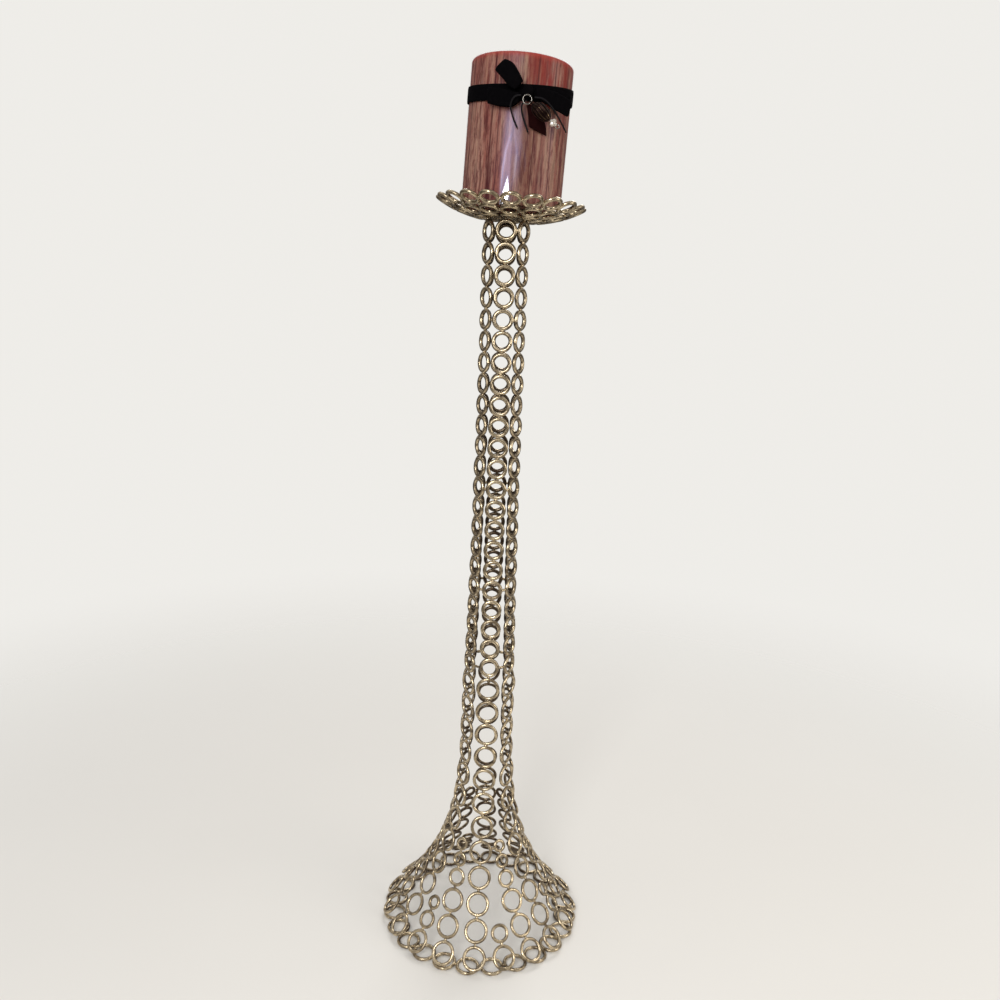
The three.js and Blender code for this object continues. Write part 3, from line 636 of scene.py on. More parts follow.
# ---------------------------------------------------------------- foot
# Below the column six legs of larger rings flare out like a trumpet, twelve rings to a leg. Shorter
# stacks, which get smaller rings towards their top, fill the widening gaps, and two or three more rings
# stand at the foot of each gap. All of them end on a circle of 24 rings that lie flat on the floor.

LEG_RINGS = 12
LEG_FOOT_Z = 0.0145
LARGE = 0.0268
FOOT_SPREAD = 0.0944
FLARE_POWER = 3.55
TURN_POWER = 1.5
NECK_AZIMUTHS = [-1, 60, 120, 180, 240, 300]
FOOT_AZIMUTHS = [-2, 51, 108, 174, 238, 301]
NECK_SPACE = 0.0003  # between a leg and its column stack
WELD_ROOM = 0.0006  # half the space between two large rings of a stack
NEAR = 0.0024  # wires closer than this are welded

# A stack in a gap: its pitches from the floor up, and its share of the way from the leg on its left to
# the one on its right, at its foot and from the height top_z up.
Gap = namedtuple("Gap", "pitches foot top top_z")
LONG = Gap([LARGE] * 4 + [0.021, 0.017, 0.0155], 0.665, 0.505, 0.105)
SHORT = Gap([LARGE] * 3 + [0.021, 0.0175, 0.0157], 0.665, 0.48, 0.113)
FILLER = Gap([LARGE, 0.021, 0.017], 0.333, 0.3, 0.049)
INFILLS = {"right_of_front": SHORT, "right": SHORT, "right_of_back": LONG,
           "left_of_back": LONG, "left": LONG, "left_of_front": SHORT}
FILLER_RINGS = [2, 3, 3, 3, 3, 3]
FOOT_ROW_RADIUS = 0.1005
FOOT_ROW_Z = WIRE / 2 + 0.0002
FOOT_ROW_RINGS = 24
FOOT_ROW_TURN = -6
ROW_BITE = 0.00005
ROW_WELD_HALF = 0.0014


def flare_radius(z):
    return NECK_APOTHEM + FOOT_SPREAD * np.maximum((NECK_Z - z) / NECK_Z, 0) ** FLARE_POWER


def leg_azimuth(leg):
    """A leg turns from its column stack's direction at the neck to its own at the floor."""
    neck, foot = (turns[leg % 6] + 360 * (leg // 6) for turns in (NECK_AZIMUTHS, FOOT_AZIMUTHS))
    return lambda z: neck + (foot - neck) * ((NECK_Z - np.minimum(z, NECK_Z)) / NECK_Z) ** TURN_POWER


def gap_azimuth(leg, gap):
    """Where a gap's stack stands between a leg and the next one to the right."""
    left, right = leg_azimuth(leg), leg_azimuth(leg + 1)

    def at(z):
        rise = np.clip((z - LEG_FOOT_Z) / (gap.top_z - LEG_FOOT_Z), 0, 1)
        share = gap.foot + (gap.top - gap.foot) * rise
        return left(z) + (right(z) - left(z)) * share

    return at


def climb(azimuth_at, z, chord):
    """The height of the point on the flare at a straight distance above height z, by halving."""
    low, high = z, z + 1.2 * chord
    start = on_path(z, azimuth_at, flare_radius)
    for _ in range(40):
        middle = (low + high) / 2
        if np.linalg.norm(on_path(middle, azimuth_at, flare_radius) - start) < chord:
            low = middle
        else:
            high = middle
    return low


def flare_stack(azimuth_at, pitches):
    heights = [LEG_FOOT_Z]
    for lower, upper in zip(pitches, pitches[1:]):
        heights.append(climb(azimuth_at, heights[-1], (lower + upper) / 2))
    radii = np.array(pitches) / 2 - WELD_ROOM + RING_BITE
    return upright_rings(np.array(heights), azimuth_at, flare_radius, radii)


def leg_stack(leg):
    """The leg's rings fill it from the floor row to the column, so their pitch is found by halving."""
    azimuth_at = leg_azimuth(leg)
    column_foot = COLUMN_TOP - COLUMN_RINGS * COLUMN_PITCH
    small, big = 0.9 * LARGE, 1.1 * LARGE
    for _ in range(30):
        pitch = (small + big) / 2
        z = LEG_FOOT_Z
        for _ in range(LEG_RINGS - 1):
            z = climb(azimuth_at, z, pitch)
        if z + pitch / 2 < column_foot - NECK_SPACE:
            small = pitch
        else:
            big = pitch
    return flare_stack(azimuth_at, [small] * LEG_RINGS)


def row_reach(count, radius, tilt):
    """The size at which a row's neighbours touch: radius · sin(half a step) / the length of the
    step's lean."""
    half = math.pi / count
    return radius * math.sin(half) / math.hypot(math.cos(half), math.cos(tilt) * math.sin(half))


def ring_row(count, radius, z, tilt=0, wire=THICK_WIRE, first=0):
    """Rings side by side in a circle, which lean up and outwards by the tilt."""
    reach = row_reach(count, radius, tilt) + ROW_BITE
    azimuth = first + 360 * np.arange(count) / count
    centre = outward(azimuth) * radius + np.array([0, 0, z])
    out = outward(azimuth) * math.cos(tilt) + np.array([0, 0, math.sin(tilt)])
    return Rings(centre, out, sideways(azimuth), np.full(count, reach), np.full(count, wire))


def row_welds(row):
    """The welds between touching neighbours of a row, as short beads across their wires."""
    neighbours = pick(row, np.roll(np.arange(len(row.radius)), -1))
    start, end, _ = nearest_points(row, neighbours)
    middle, ahead = (start + end) / 2, unit(neighbours.centre - row.centre)
    return middle - ahead * ROW_WELD_HALF, middle + ahead * ROW_WELD_HALF


legs = [leg_stack(leg) for leg in range(6)]
gap_stacks = [flare_stack(gap_azimuth(leg, gap), gap.pitches) for leg, gap in enumerate(INFILLS.values())]
gap_feet = [flare_stack(gap_azimuth(leg, FILLER), FILLER.pitches[:count])
            for leg, count in enumerate(FILLER_RINGS)]
foot_row = ring_row(FOOT_ROW_RINGS, FOOT_ROW_RADIUS, FOOT_ROW_Z, wire=WIRE, first=FOOT_ROW_TURN)
column_feet = join(*(pick(stack, [-1]) for stack in column_stacks))

for leg, side_name in enumerate(SIDES):
    leg_welds = [between_neighbours(legs[leg]), welds_across(legs[leg], join(foot_row, column_feet), NEAR)]
    ring_piece(f"leg_{side_name}", legs[leg], leg_welds, f"flare_leg_{side_name}")
for gap, gap_name in enumerate(INFILLS):
    beside = join(legs[gap], legs[(gap + 1) % 6])
    stack_welds = [between_neighbours(gap_stacks[gap]), welds_across(gap_stacks[gap], beside, NEAR)]
    ring_piece(f"infill_{gap_name}", gap_stacks[gap], stack_welds, f"flare_infill_{gap_name}")
    beside = join(beside, gap_stacks[gap])
    foot_welds = [between_neighbours(gap_feet[gap]), welds_across(gap_feet[gap], beside, NEAR)]
    ring_piece(f"filler_{gap_name}", gap_feet[gap], foot_welds, f"foot_filler_{gap_name}")
ring_piece("foot_row", foot_row, [row_welds(foot_row)], "foot_ring_row", 0.0)

# ---------------------------------------------------------------- dish
# The dish is welded up from the same wire: three rings in the middle and eight round them lie flat on
# the column, and two wider rows lean outwards and up. The candle stands on the lower of the two.

SEAT = 0.0003  # the space between two rows, and between the dish and the column
DISH_Z = COLUMN_TOP + SEAT + THICK_WIRE / 2  # the flat rows' wire, on the column's top
CENTRE_RADIUS = 0.0085
INNER_RADIUS = 0.0266
MIDDLE_TILT = 16  # degrees
OUTER_TILT = 27
DISH_NEAR = 0.0026
DISH_UNEVENNESS = 0.25


def leaning_row(count, tilt_degrees, edge, z):
    """A row that starts where the last one ends. Its centres lie at edge / (1 − lean · reach per
    radius). It returns the row, and the edge and height where the next row starts."""
    tilt = math.radians(tilt_degrees)
    radius = (edge + SEAT) / (1 - math.cos(tilt) * row_reach(count, 1, tilt))
    tall = radius - edge - SEAT
    rise = tall * math.tan(tilt)
    return ring_row(count, radius, z + rise, tilt), radius + tall, z + 2 * rise


def lean_rings(row):
    return row._replace(centre=leaned(row.centre), out=tipped(row.out), side=tipped(row.side))


dish_centre = ring_row(3, CENTRE_RADIUS, DISH_Z)
dish_inner = ring_row(8, INNER_RADIUS, DISH_Z)
inner_edge = INNER_RADIUS + dish_inner.radius[0]
dish_middle, middle_edge, middle_z = leaning_row(14, MIDDLE_TILT, inner_edge, DISH_Z)
dish_outer, _, _ = leaning_row(20, OUTER_TILT, middle_edge, middle_z)
dish_centre, dish_inner, dish_middle, dish_outer = (
    lean_rings(row) for row in (dish_centre, dish_inner, dish_middle, dish_outer))
column_heads = join(*(pick(stack, [0]) for stack in column_stacks))
DISH_ROWS = [
    ("dish_centre", dish_centre, dish_inner, "dish_centre_rings"),
    ("dish_inner_row", dish_inner, column_heads, "dish_inner_ring_row"),
    ("dish_middle_row", dish_middle, dish_inner, "dish_middle_ring_row"),
    ("dish_outer_row", dish_outer, dish_middle, "dish_outer_ring_row"),
]
for row_name, row, carrier, node in DISH_ROWS:
    row_and_carrier_welds = [row_welds(row), welds_across(row, carrier, DISH_NEAR)]
    ring_piece(row_name, row, row_and_carrier_welds, node, DISH_UNEVENNESS)

# ---------------------------------------------------------------- candle
# A pillar candle of poured wax, mottled mauve and brown, with dark red streaks that run down it and a
# redder top, and a broad darker band of painted shade over its front right. A cotton wick stands in the
# middle. The wax is dull, and what gloss it has is its film's.

CANDLE_BASE = 0.7974
CANDLE_TOP = 0.9347
CANDLE_STEPS = 128
WAX_RADIUS = 0.0502
LOWER_EDGE = 0.001  # radii of the rounded edges
UPPER_EDGE = 0.003
TOP_HOLLOW = 0.0026  # how far the top sinks towards the wick
MAUVE, PALE_MAUVE = (0.26, 0.075, 0.055), (0.39, 0.20, 0.145)
LILAC, TAN, UMBER_SHADE = (0.36, 0.20, 0.17), (0.48, 0.30, 0.20), (0.12, 0.055, 0.03)
PLUM, DEEP_PLUM, DARK_RED = (0.14, 0.028, 0.024), (0.08, 0.014, 0.012), (0.06, 0.006, 0.007)
RED, RIM_RED = (0.24, 0.018, 0.009), (0.42, 0.05, 0.035)
LOW_STREAK = (-29, 3.2)  # the one that fades out upwards
STREAKS = [  # azimuth and width in degrees, strength
    (-130, 2, 0.7), (-64, 1.3, 0.7), (-47, 0.8, 0.5), (-30, 1.3, 1.0), (-21, 0.8, 0.8), (-12, 0.7, 0.4),
    (19, 0.9, 0.9), (28, 0.6, 0.5), (41, 0.8, 0.9), (62, 1.2, 0.7), (120, 2, 0.6), (170, 1.5, 0.6),
]


def up_candle(z):
    """A height as a share of the candle's, from 0 at its base to 1 at its top."""
    return (z - CANDLE_BASE) / (CANDLE_TOP - CANDLE_BASE)


def rounded(corner, radius, start, end, steps):
    """Points of an arc about a corner's inner point, from one angle to another in degrees."""
    angle = np.radians(np.linspace(start, end, steps))
    return [(corner[0] + radius * math.cos(t), corner[1] + radius * math.sin(t)) for t in angle]


def wall_outline(radius, base, top, rows, edge_steps):
    """(radius, height) round the lower edge, up the wall and round the upper edge."""
    lower = rounded((radius - LOWER_EDGE, base + LOWER_EDGE), LOWER_EDGE, -90, 0, 4)
    wall = [(radius, z) for z in np.linspace(base + 0.004, top - 0.005, rows)]
    return lower + wall + rounded((radius - UPPER_EDGE, top - UPPER_EDGE), UPPER_EDGE, 0, 90, edge_steps)


def streak(azimuth, at, width):
    """1 along an upright line at an azimuth in degrees, fading over its width."""
    off = (azimuth - at) / width
    return ((off * off) * -1).math("EXPONENT")


def mottled_wax():
    material, finish = new_finish("mottled_wax")
    middle = np.array([0, 0, COLUMN_TOP])
    back = tuple(middle - tipped((middle + np.array(TOP_SHIFT)) * (-1, 1, 1)) * (-1, 1, 1))
    place = finish.node("ShaderNodeMapping", {}, Vector=finish.coordinates(), Location=back,
                        Rotation=(0, -TOP_LEAN, 0))
    tall, drawn, flecked = (finish.stretched(place, (1, 1, height)) for height in (0.12, 0.07, 0.3))
    axes = finish.node("ShaderNodeSeparateXYZ", {}, 0, Vector=place).socket.node
    x, y, z = (Value(finish.tree, axes.outputs[k]) for k in range(3))
    wander = (finish.noise(tall, 60, 2) - 0.5) * 6
    azimuth = x.math("ARCTAN2", y * -1) * (180 / math.pi) + wander
    height = up_candle(z)
    clouds = finish.ramp(finish.noise(tall, 75, 5, 0.6), 0.36, 0.64)
    grain = finish.noise(drawn, 420, 4, 0.7)
    fine = finish.noise(place, 600, 2)
    mottle = finish.noise(flecked, 330, 4, 0.7)
    wax = finish.mix(clouds, MAUVE, PALE_MAUVE)
    # painted shade: a broad umber band over the front right of the candle, darkest at 12 degrees
    wax = finish.mix(streak(azimuth, 12, 24) * 0.6, wax, UMBER_SHADE)
    wax = finish.mix(finish.ramp(mottle, 0.50, 0.62) * 0.6, wax, PLUM)
    wax = finish.mix(finish.ramp(grain, 0.51, 0.57) * 0.75, wax, DEEP_PLUM)
    wax = finish.mix(finish.ramp(finish.noise(drawn, 230, 4, 0.65), 0.52, 0.62) * 0.4, wax, TAN)
    reds = finish.ramp(finish.noise(tall, 110, 4, 0.65) + height * 0.42, 0.74, 0.92)
    reds = reds * (streak(azimuth, 42, 32) * 0.65 + 0.25)
    wax = finish.mix(reds, wax, RED)
    lilac = finish.ramp(finish.noise(tall, 95, 3) + height * 0.1, 0.62, 0.78)
    wax = finish.mix(lilac * 0.35, wax, LILAC)
    dark = streak(azimuth, *LOW_STREAK) * finish.ramp(1 - height, 0.3, 0.95)
    for at, width, strength in STREAKS:
        dark = dark.math("MAXIMUM", streak(azimuth, at, width) * strength)
    wax = finish.mix((dark * (grain * 0.8 + 0.6)).held() * 0.92, wax, DARK_RED)
    wax = finish.mix(finish.ramp(height, 0.95, 1.0) * 0.7, wax, RIM_RED)
    finish.set(Base_Color=wax, Roughness=(fine * 0.15 + 0.50).held())
    finish.set(Specular_IOR_Level=0.2, Subsurface_Weight=0.05)
    finish.bump(grain * 0.4 + clouds, 0.00012, 0.4)
    return material


def wax_skin():
    """The wax's outline, from under its base over the wall to the hollow top, turned round the axis."""
    hollow = [(0.03, CANDLE_TOP - 0.0008), (0.01, CANDLE_TOP - 0.0022), (0.003, CANDLE_TOP - TOP_HOLLOW)]
    wall = wall_outline(WAX_RADIUS, CANDLE_BASE, CANDLE_TOP, 24, 6)
    radius, z = np.array([(0.02, CANDLE_BASE), *wall, *hollow]).T
    section = radius[:, None, None] * circle(1.0, CANDLE_STEPS)[::-1]
    return carried(z[:, None] * UP, RIGHT, -BACK, section)


fit(new_piece("pillar_wax", *wax_skin(), mottled_wax()), "candle", "wax", "candle_wax")


def wick_cotton():
    material, finish = new_finish("wick_cotton")
    plait = finish.noise(finish.coordinates((1, 1, 0.4)), 1500)
    finish.set(Base_Color=finish.mix(plait, (0.55, 0.50, 0.40), (0.8, 0.76, 0.66)), Roughness=0.9)
    finish.bump(plait, 0.0003)
    return material


WICK_FOOT = CANDLE_TOP - 0.0057
WICK_RADIUS = 0.0011
wick_line = smooth_line([(0, 0, 0), (0.0002, 0, 0.007), (0.0004, -0.0002, 0.0147)], 10) + WICK_FOOT * UP
wick_skin = carried(wick_line, RIGHT, -BACK, circle(WICK_RADIUS, 10)[::-1])
fit(new_piece("wick", *wick_skin, wick_cotton()), "candle", "wick", "candle_wick")

# ---------------------------------------------------------------- clear film
# The candle is wrapped in thin clear film, shrunk on with heat. It is drawn in over both ends, where it
# crumples, and stands off the wax in a few long upright folds. The light they catch is painted reflection:
# a painted glare and a painted highlight set where the film reflects.

FILM_LIP = 0.038  # how near to the axis the film ends
FILM_THICK = 0.00012
FILM_OFF = 0.00045  # off the wax's wall
FILM_OVER = 0.0006  # past the wax's base and top
FILM_STEPS = 480
FRONT_FOLDS = [  # azimuth and width in degrees, and how far the fold stands off
    (-26, 2.0, 0.000225), (-13, 5.0, 0.00072), (-3, 3.2, 0.000495), (9, 4.0, 0.000585), (21, 2.0, 0.000225)]
FOLD_DRIFT = 6  # degrees that the front folds wander up the candle's height
PAINTED_GLARE_WIDTH = 1.1
PAINTED_GLARE_FOLDS = [  # painted glare drawn as folds: shares of the candle's height, the azimuths there, and the strength
    ([0.08, 0.23, 0.35, 0.47], [-12, -11.8, -10.4, -6], 0.55),
    ([0.08, 0.19, 0.35, 0.50], [-3.2, 0.9, 1.6, -3.5], 0.45),
    ([0.22, 0.32, 0.43], [12.7, 11.3, 4], 0.4),
]
fold_places = dice.uniform(35, 325, 26)
fold_widths = dice.uniform(1.0, 3.0, 26)
fold_depths = dice.uniform(0.1, 0.45, 26) * 0.0006


def degrees_from(place, degrees):
    """How far round an azimuth is from a place, from −180 to 180 degrees."""
    return (degrees - place + 180) % 360 - 180


def film_folds(turn, z):
    """How far the film stands off: a sum of narrow upright ridges, e^−(azimuth / width)², the front
    ones strongest low down, and fine crumples that grow towards either end."""
    degrees, share = np.degrees(turn), up_candle(z)
    low = np.clip(1.1 - 1.9 * share, 0, 1) ** 0.7
    mid = np.sin(math.pi * np.clip(share, 0, 1))
    swell = 0 * (degrees + z)
    for place, width, depth in FRONT_FOLDS:
        swell = swell + depth * low * bell(degrees_from(place - FOLD_DRIFT * share, degrees), width)
    for place, width, depth in zip(fold_places, fold_widths, fold_depths):
        swell = swell + depth * mid * bell(degrees_from(place, degrees), width)
    ends = np.clip(np.abs(share - 0.5) * 2, 0, 1) ** 14
    return swell + ends * 0.00018 * (np.sin(degrees * 0.31) + np.sin(degrees * 0.73 + 1))


def painted_film_glare(turn, z):
    """Two numbers from 0 to 1, both painted reflection. The painted glare is a broad patch in front, where
    the film stands off, with three brighter folds drawn in it. The shine is a painted highlight, a bright
    wedge at the foot of the patch."""
    degrees, share = degrees_from(0, np.degrees(turn)), up_candle(z)
    middle, half = np.minimum(14 * share - 7, -1), np.minimum(6 + 18 * share, 13)
    patch = np.exp(-(((degrees - middle) / half) ** 4)) * np.clip((0.68 - share) / 0.12, 0, 1)
    haze = 0.4 * patch * np.clip(1.2 - (degrees - middle) / 16, 0, 1)
    for shares, places, strength in PAINTED_GLARE_FOLDS:
        place = np.interp(share, shares, places)
        along = (share - shares[0]) / (shares[-1] - shares[0])
        taper = np.clip(4 * along * (1 - along), 0, 1) ** 0.5 * ((along > 0) & (along < 1))
        haze = haze + strength * taper * bell(degrees - place, PAINTED_GLARE_WIDTH)
    wide = 6.2 * np.clip(1 - share / 0.19, 0, 1)
    shine = np.clip((wide - np.abs(degrees + 6.7 - 5 * share)) / 1.2, 0, 1)
    return np.clip(haze, 0, 1), shine


def film_skin():
    """The film's outer and inner skin as one closed profile, carried round the candle. Where it lies
    flat over the ends it is as thick upwards as it is outwards on the wall, and waves on top."""
    base, top = CANDLE_BASE - FILM_OVER, CANDLE_TOP + FILM_OVER
    wall = wall_outline(WAX_RADIUS + FILM_OFF, base, top, 40, 7)
    lips = [(FILM_LIP + 0.004, top - 0.0001), (FILM_LIP, top - 0.0001)]
    outer_radius, height = np.array([(FILM_LIP, base), *wall, *lips]).T[..., None]
    turn = full_turn(FILM_STEPS)
    middle = 0.5 * (base + top)
    upper = height > middle
    flat = np.abs(height - middle) > 0.5 * (top - base) - 0.0002
    wave = 0.0004 * flat * (np.sin(23 * turn) + np.sin(37 * turn + 2))
    radius = outer_radius + np.where(flat, 0, film_folds(turn, height))
    z = height + np.where(upper, np.abs(wave), 0) * 0.8
    inner_radius = radius - np.where(flat, 0, FILM_THICK)
    inner_z = z + np.where(flat, np.where(upper, -1, 1) * FILM_THICK, 0)
    both_radius = np.concatenate([radius, inner_radius[::-1]])
    both_z = np.concatenate([z, inner_z[::-1]])
    skin = np.stack([both_radius * np.sin(turn), -both_radius * np.cos(turn), both_z], -1)
    faces = grid_faces(len(both_z), FILM_STEPS, True, True)[:, ::-1].tolist()
    return skin.reshape(-1, 3), faces, painted_film_glare(turn, both_z)


def clear_film():
    """Clear film that shows only by its reflections, bluish against the wax. Where they are strong is
    painted: a painted glare over a broad patch and its folds, and a painted highlight at its foot."""
    material, finish = new_finish("clear_shrink_film")
    facing = finish.node("ShaderNodeLayerWeight", {}, "Facing", Blend=0.5)
    haze = finish.ramp(finish.noise(finish.coordinates((1, 1, 0.2)), 120, 3), 0.5, 0.8)
    shine = finish.attribute("shine")
    haze = haze * 0.1 + finish.attribute("haze")
    # painted reflection: the lavender tint and, through the alpha, the glare and highlight masks set where
    # the film reflects
    finish.set(Base_Color=finish.mix(shine, (0.62, 0.58, 0.86), (0.95, 0.95, 1.0)), Metallic=1.0)
    finish.set(Roughness=(shine * -0.2 + 0.42).held())
    finish.set(Alpha=(facing ** 3 * 0.03 + haze * 0.10 + shine * 0.5 + 0.006).held())
    return material


film_points, film_faces, (film_painted_glare, film_shine) = film_skin()
film = new_piece("shrink_film", film_points, film_faces, clear_film(),
                 haze=film_painted_glare.ravel(), shine=film_shine.ravel())
fit(film, "candle", "clear_wrap", "candle_wrap")

# ---------------------------------------------------------------- velvet ribbon and bow
# A black velvet ribbon, 15 mm wide, runs round the candle and droops in front. Its bow has a loop that
# stands up, one that lies round the candle to the right and a short one to the left. A short burgundy
# ribbon end hangs from the knot behind the charm.

RIBBON_WIDTH = 0.015
RIBBON_THICK = 0.0009
BAND_Z = 0.905
BAND_DROOP = 0.007
BAND_RISE = 0.0026  # higher on the right, against the candle's lean
BAND_RADIUS = CANDLE_RADIUS + 0.0003 + RIBBON_THICK / 2


def velvet(name, dark, light, sheen_tint):
    """Pile fabric: almost no gloss, a faint sheen from the side, and small changes where it is brushed."""
    material, finish = new_finish(name)
    brushed = finish.noise(finish.coordinates(), 260, 3)
    pile = finish.noise(finish.coordinates(), 2600, 1)
    finish.set(Base_Color=finish.mix(brushed, dark, light), Roughness=0.95, Specular_IOR_Level=0.02)
    finish.set(Sheen_Weight=0.01, Sheen_Roughness=0.35, Sheen_Tint=sheen_tint)
    finish.bump(pile + brushed * 0.5, 0.0002)
    return material


def ribbon_section(width, crown, steps=12):
    """A ribbon's section: across from −width/2 to width/2 and back, with rounded edges. Its faces bow
    outwards by the crown, 1 − (across)², and it is as thick as the ribbon, less near the edges."""
    t = np.linspace(-1, 1, steps)
    thick = RIBBON_THICK / 2 * (1 - np.abs(t) ** 8 * 0.7)
    across = np.concatenate([t, t[::-1]]) * width / 2
    rise = crown * (1 - t**2)
    depth = np.concatenate([rise + thick, (rise - thick)[::-1]])
    return np.stack([across, depth], -1)


def ribbon(name, stations, material, samples=60, crown=0.0006):
    """A strip through its stations, each a middle, a direction across and a width. It returns the
    piece, its length and its mean width."""
    middles, across, widths = stations
    fine = smooth_line(np.concatenate([middles, across, widths[:, None]], 1), samples)
    line, side, width = fine[:, :3], unit(fine[:, 3:6]), fine[:, 6]
    ahead = unit(np.gradient(line, axis=0))
    face = unit(np.cross(ahead, side))
    section = np.stack([ribbon_section(w, crown) for w in width])
    length = np.linalg.norm(np.diff(line, axis=0), axis=1).sum()
    return new_piece(name, *carried(line, side, face, section), material), length, width.mean()


black_velvet = velvet("black_velvet", (0.0012, 0.0011, 0.0014), (0.004, 0.0034, 0.004),
                      (0.5, 0.45, 0.5, 1.0))
burgundy_velvet = velvet("burgundy_velvet", (0.006, 0.0015, 0.0016), (0.02, 0.0045, 0.0045),
                         (0.7, 0.4, 0.4, 1.0))

band_azimuth = np.linspace(0, 360, 145)[:-1]
band_out = outward(band_azimuth)
band_middle = band_out * BAND_RADIUS
band_turn = np.radians(band_azimuth)
band_middle[:, 2] = BAND_Z - BAND_DROOP * np.cos(band_turn) + BAND_RISE * np.sin(band_turn)
band_skin = carried(band_middle, UP, band_out, ribbon_section(RIBBON_WIDTH, 0)[::-1], True)
band = new_piece("ribbon_round_candle", *band_skin, black_velvet)
fit(band, "candle", "black_velvet", "ribbon_band")


def loop_stations(root, along, across, points):
    """Stations of a loop from [along, depth, width, lift]: along it, away from the candle, its width,
    and up across it."""
    root, along, across = np.array(root), unit(np.array(along)), unit(np.array(across))
    face = unit(np.cross(along, across))
    a, d, width, lift = (np.array(points) / 1000).T
    middles = root + a[:, None] * along + d[:, None] * face + lift[:, None] * across
    return middles, np.tile(across, (len(a), 1)), width


BOW_LOOPS = {
    "upper": ((0.003, -0.0555, 0.899), (-0.77, 0, 0.64), (-0.64, 0, -0.77), [
        (6, 4.2, 11, 0.6), (13, 6.6, 15, 0.6), (22, 6.2, 16, -0.8), (28, 4.6, 14.5, -0.4), (31, 2.4, 13, 0),
        (29, 0.4, 13.5, -0.4), (21, -0.4, 15.5, -1.4), (12, 0.2, 14, -0.4), (6, 1.6, 10, 0)]),
    "right": ((0.011, -0.0595, 0.8985), (0.86, 0.5, -0.03), (0.03, 0, 1), [
        (3, 1.8, 8, -1), (10, 3.6, 12, -2), (22, 4.2, 15, -4), (33, 3.6, 15.5, -6), (39, 2.8, 15.5, -7),
        (42, 1, 15, -5), (40, -1, 15, -1.5), (31, -1.6, 15, 0.5), (20, -1.8, 14, 0.5), (10, -1.6, 11, 0),
        (3, -0.8, 8, 0)]),
    "left": ((0, -0.0585, 0.895), (-0.95, 0.3, -0.02), (0.02, 0, -1), [
        (1, 1.4, 8, 3), (8, 2.6, 13, 4.6), (19, 2.8, 15, 3.2), (29, 1.8, 14.5, 1.4), (31, 0.4, 14, 1.4),
        (29, -1, 14, 1.4), (19, -1.6, 14.5, 3.2), (8, -1.7, 13, 4.4), (1, -1.4, 8, 3)]),
}
for which, (root, along, across, points) in BOW_LOOPS.items():
    loop, length, width = ribbon(f"bow_{which}", loop_stations(root, along, across, points), black_velvet)
    fit(loop, "candle", "black_velvet", f"bow_loop_{which}")

TAIL = [  # x, z and width in millimetres
    (11, 888, 10), (15, 882, 16), (17.4, 876, 18.6), (18.8, 870, 19.4), (19.5, 865.5, 19)]
TAIL_OFF = 0.002
TAIL_SLANT = 0.3  # how steeply its width runs down to the right
tail_x, tail_z, tail_width = (np.array(TAIL) / 1000).T
tail_middle = before_candle(tail_x, tail_z, CANDLE_RADIUS + TAIL_OFF)
tail_face = unit(tail_middle * (1, 1, 0))
tail_stations = tail_middle, unit(np.cross(UP, tail_face) - TAIL_SLANT * UP), tail_width
tail, length, width = ribbon("burgundy_end", tail_stations, burgundy_velvet, 30, 0.0)
fit(tail, "candle", "burgundy_velvet", "ribbon_tail")


KNOT_MIDDLE = (0.0072, -0.058, 0.8975)
KNOT_HALF_SIZE = (0.0054, 0.0051, 0.006)


def knot_skin():
    """The knot: a ball with soft upright creases, deepest in the middle, where the ribbon is pulled
    through itself."""
    points, faces = ball(20, 32)
    x, y, z = points.T
    crease = 1 + 0.07 * np.sin(9 * z + 2 * x) * (1 - x**2) + 0.04 * np.sin(5 * x + 3 * z)
    return points * crease[:, None] * KNOT_HALF_SIZE + KNOT_MIDDLE, faces


knot = new_piece("knot", *knot_skin(), black_velvet)
fit(knot, "candle", "black_velvet", "bow_knot")

# ---------------------------------------------------------------- charm
# A charm hangs on the knot by a wire ring: a fluted bead of dark polished bronze with a wire eye, a
# bunch of cut glass under it, and a small wire ring at its end. It points down to the right.

JUMP_RING = np.array([0.007, -0.0665, 0.889])
JUMP_RING_SIZE = (0.0041, 0.0011)  # radius to the wire's middle, and the wire's thickness
EYE_SIZE = (0.00205, 0.001)
END_RING_SIZE = (0.0018, 0.0008)
CHARM_SLOPE = math.radians(-35)
EYE_AT = 0.0046  # distances from the middle of the wire ring, down the charm
BEAD_AT = 0.00665
BEAD_LENGTH = 0.0205
BEAD_END = BEAD_AT + BEAD_LENGTH
CRYSTALS_AT = BEAD_END + 0.0043
END_RING_AT = BEAD_END + 0.0094
BEAD_RADIUS = 0.0068
BEAD_OUTLINE = [  # shares of the bead's length and radius
    (0, 0.30), (0.02, 0.42), (0.05, 0.46), (0.08, 0.60), (0.14, 0.75), (0.22, 0.88), (0.32, 0.96),
    (0.42, 1.0), (0.52, 1.0), (0.62, 0.97), (0.72, 0.91), (0.82, 0.80), (0.90, 0.66), (0.94, 0.50),
    (0.98, 0.46), (1.0, 0.36)]
FLUTES = 14
FLUTE_DEPTH = 0.11
charm_along = np.array([math.cos(CHARM_SLOPE), 0, math.sin(CHARM_SLOPE)])
charm_across = np.array([-math.sin(CHARM_SLOPE), 0, math.cos(CHARM_SLOPE)])


def on_charm(distance):
    return JUMP_RING + charm_along * distance


def wire_loop(centre, u, v, size, steps=40):
    """A thin round wire carried round a circle that lies along u and v."""
    radius, wire = size
    spoke = spokes(u, v, full_turn(steps))
    return carried(centre + radius * spoke, spoke, np.cross(u, v), circle(wire / 2, 10), True)


def bright_wire():
    material, finish = new_finish("bright_wire")
    rub = finish.noise(finish.coordinates(), 1200, 2)
    finish.set(Base_Color=finish.mix(rub, (0.10, 0.09, 0.08), (0.42, 0.40, 0.36)), Metallic=1.0)
    finish.set(Roughness=rub * 0.15 + 0.12)
    return material


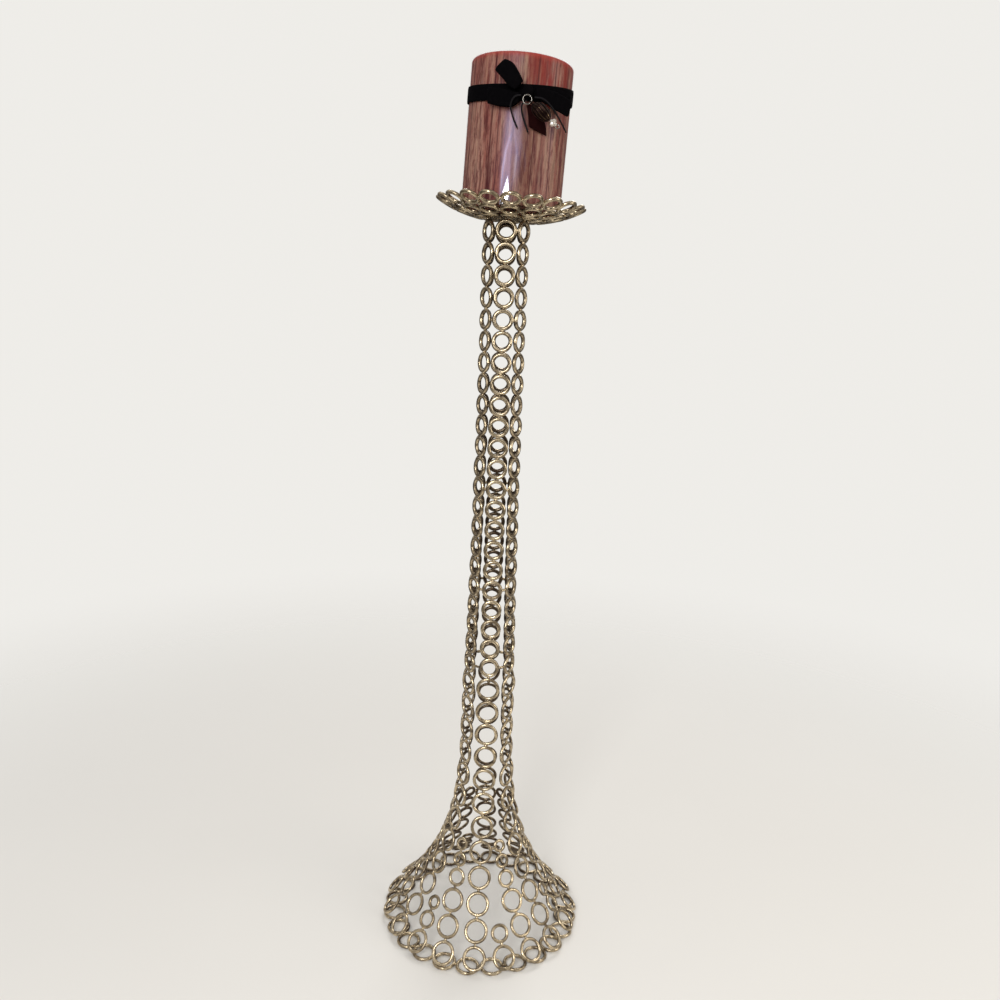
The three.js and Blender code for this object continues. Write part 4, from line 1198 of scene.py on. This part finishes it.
def charm_bronze():
    """Dark bronze, polished pale on the ridges and nearly black red-brown in the grooves."""
    material, finish = new_finish("dark_charm_bronze")
    ridge = finish.attribute("ridge")
    rub = finish.noise(finish.coordinates(), 700, 3)
    polished = finish.ramp(ridge + rub * 0.4, 1.12, 1.34)
    body = finish.mix(polished, (0.010, 0.003, 0.002), (0.40, 0.27, 0.15))
    finish.set(Base_Color=body, Metallic=0.9, Roughness=(polished * -0.12 + 0.32).held())
    return material


def bead_skin():
    """A barrel along the charm's line, its radius cut by flutes that twist a little and run out at
    either end. Each point keeps how far up a ridge it lies."""
    share, size = np.array(BEAD_OUTLINE).T[..., None]
    turn = full_turn(FLUTES * 8)
    ridge = 0.5 + 0.5 * np.cos(FLUTES * (turn + 0.5 * share))
    depth = FLUTE_DEPTH * np.clip(np.sin(math.pi * share), 0, 1) ** 0.5
    reach = BEAD_RADIUS * size * (1 - depth * (1 - ridge**0.7))
    profile = np.stack([reach * np.cos(turn), reach * np.sin(turn)], -1)[:, ::-1]
    points, faces = carried(on_charm(BEAD_AT + BEAD_LENGTH * share), charm_across, BACK, profile)
    return points, faces, np.concatenate([ridge[:, ::-1].reshape(-1), [0.5, 0.5]])


charm_wire = bright_wire()
jump_ring = new_piece("jump_ring", *wire_loop(JUMP_RING, RIGHT, -UP, JUMP_RING_SIZE), charm_wire)
fit(jump_ring, "candle", "charm_wire", "charm_ring")
bead_points, bead_faces, bead_ridge = bead_skin()
eye_points, eye_faces = wire_loop(on_charm(EYE_AT), charm_along, BACK, EYE_SIZE, 24)
bead_faces += repeated(eye_faces, eye_points[None], len(bead_points))
bead_ridge = np.concatenate([bead_ridge, np.full(len(eye_points), 0.9)])
bead = new_piece("fluted_bead", np.concatenate([bead_points, eye_points]), bead_faces, charm_bronze(),
                 ridge=bead_ridge)
fit(bead, "charm", "bead_metal", "charm_bead")


def cut_glass():
    material, finish = new_finish("cut_glass")
    glint = finish.noise(finish.coordinates(), 500, 1)
    finish.set(Base_Color=finish.mix(glint, (0.86, 0.76, 0.60), (0.96, 0.93, 0.88)), Metallic=0.35)
    finish.set(Roughness=0.04, Transmission_Weight=0.35, IOR=1.54, Coat_Weight=1.0, Coat_Roughness=0.02)
    return material


def crystal_skin():
    """Seven small faceted stones in a bunch. Each is a coarse ball turned its own way."""
    stone_points, stone_faces = ball(5, 7)
    ring_of_four = 0.0022 * spokes(charm_across, BACK, math.pi * (0.25 + np.arange(4) / 2))
    offsets = np.concatenate([[(0, 0, 0)], ring_of_four, [charm_along * 0.0024, charm_along * -0.0018]])
    sizes = np.array([0.0025, 0.0021, 0.0021, 0.0021, 0.0021, 0.0019, 0.0019])
    turned_stones, _ = np.linalg.qr(dice.normal(0, 1, (len(sizes), 3, 3)))
    turned_stones *= np.sign(np.linalg.det(turned_stones))[:, None, None]
    local = np.einsum("nij,pj->npi", turned_stones, stone_points) * sizes[:, None, None]
    points = (on_charm(CRYSTALS_AT) + offsets)[:, None] + local
    return points.reshape(-1, 3), repeated(stone_faces, points)


crystals = new_piece("cut_crystals", *crystal_skin(), cut_glass(), smooth=False)
fit(crystals, "charm", "cut_glass", "charm_crystals")
end_skin = wire_loop(on_charm(END_RING_AT), charm_along, charm_across, END_RING_SIZE, 28)
end_ring = new_piece("end_ring", *end_skin, charm_wire)
fit(end_ring, "charm", "charm_wire", "charm_end_ring")
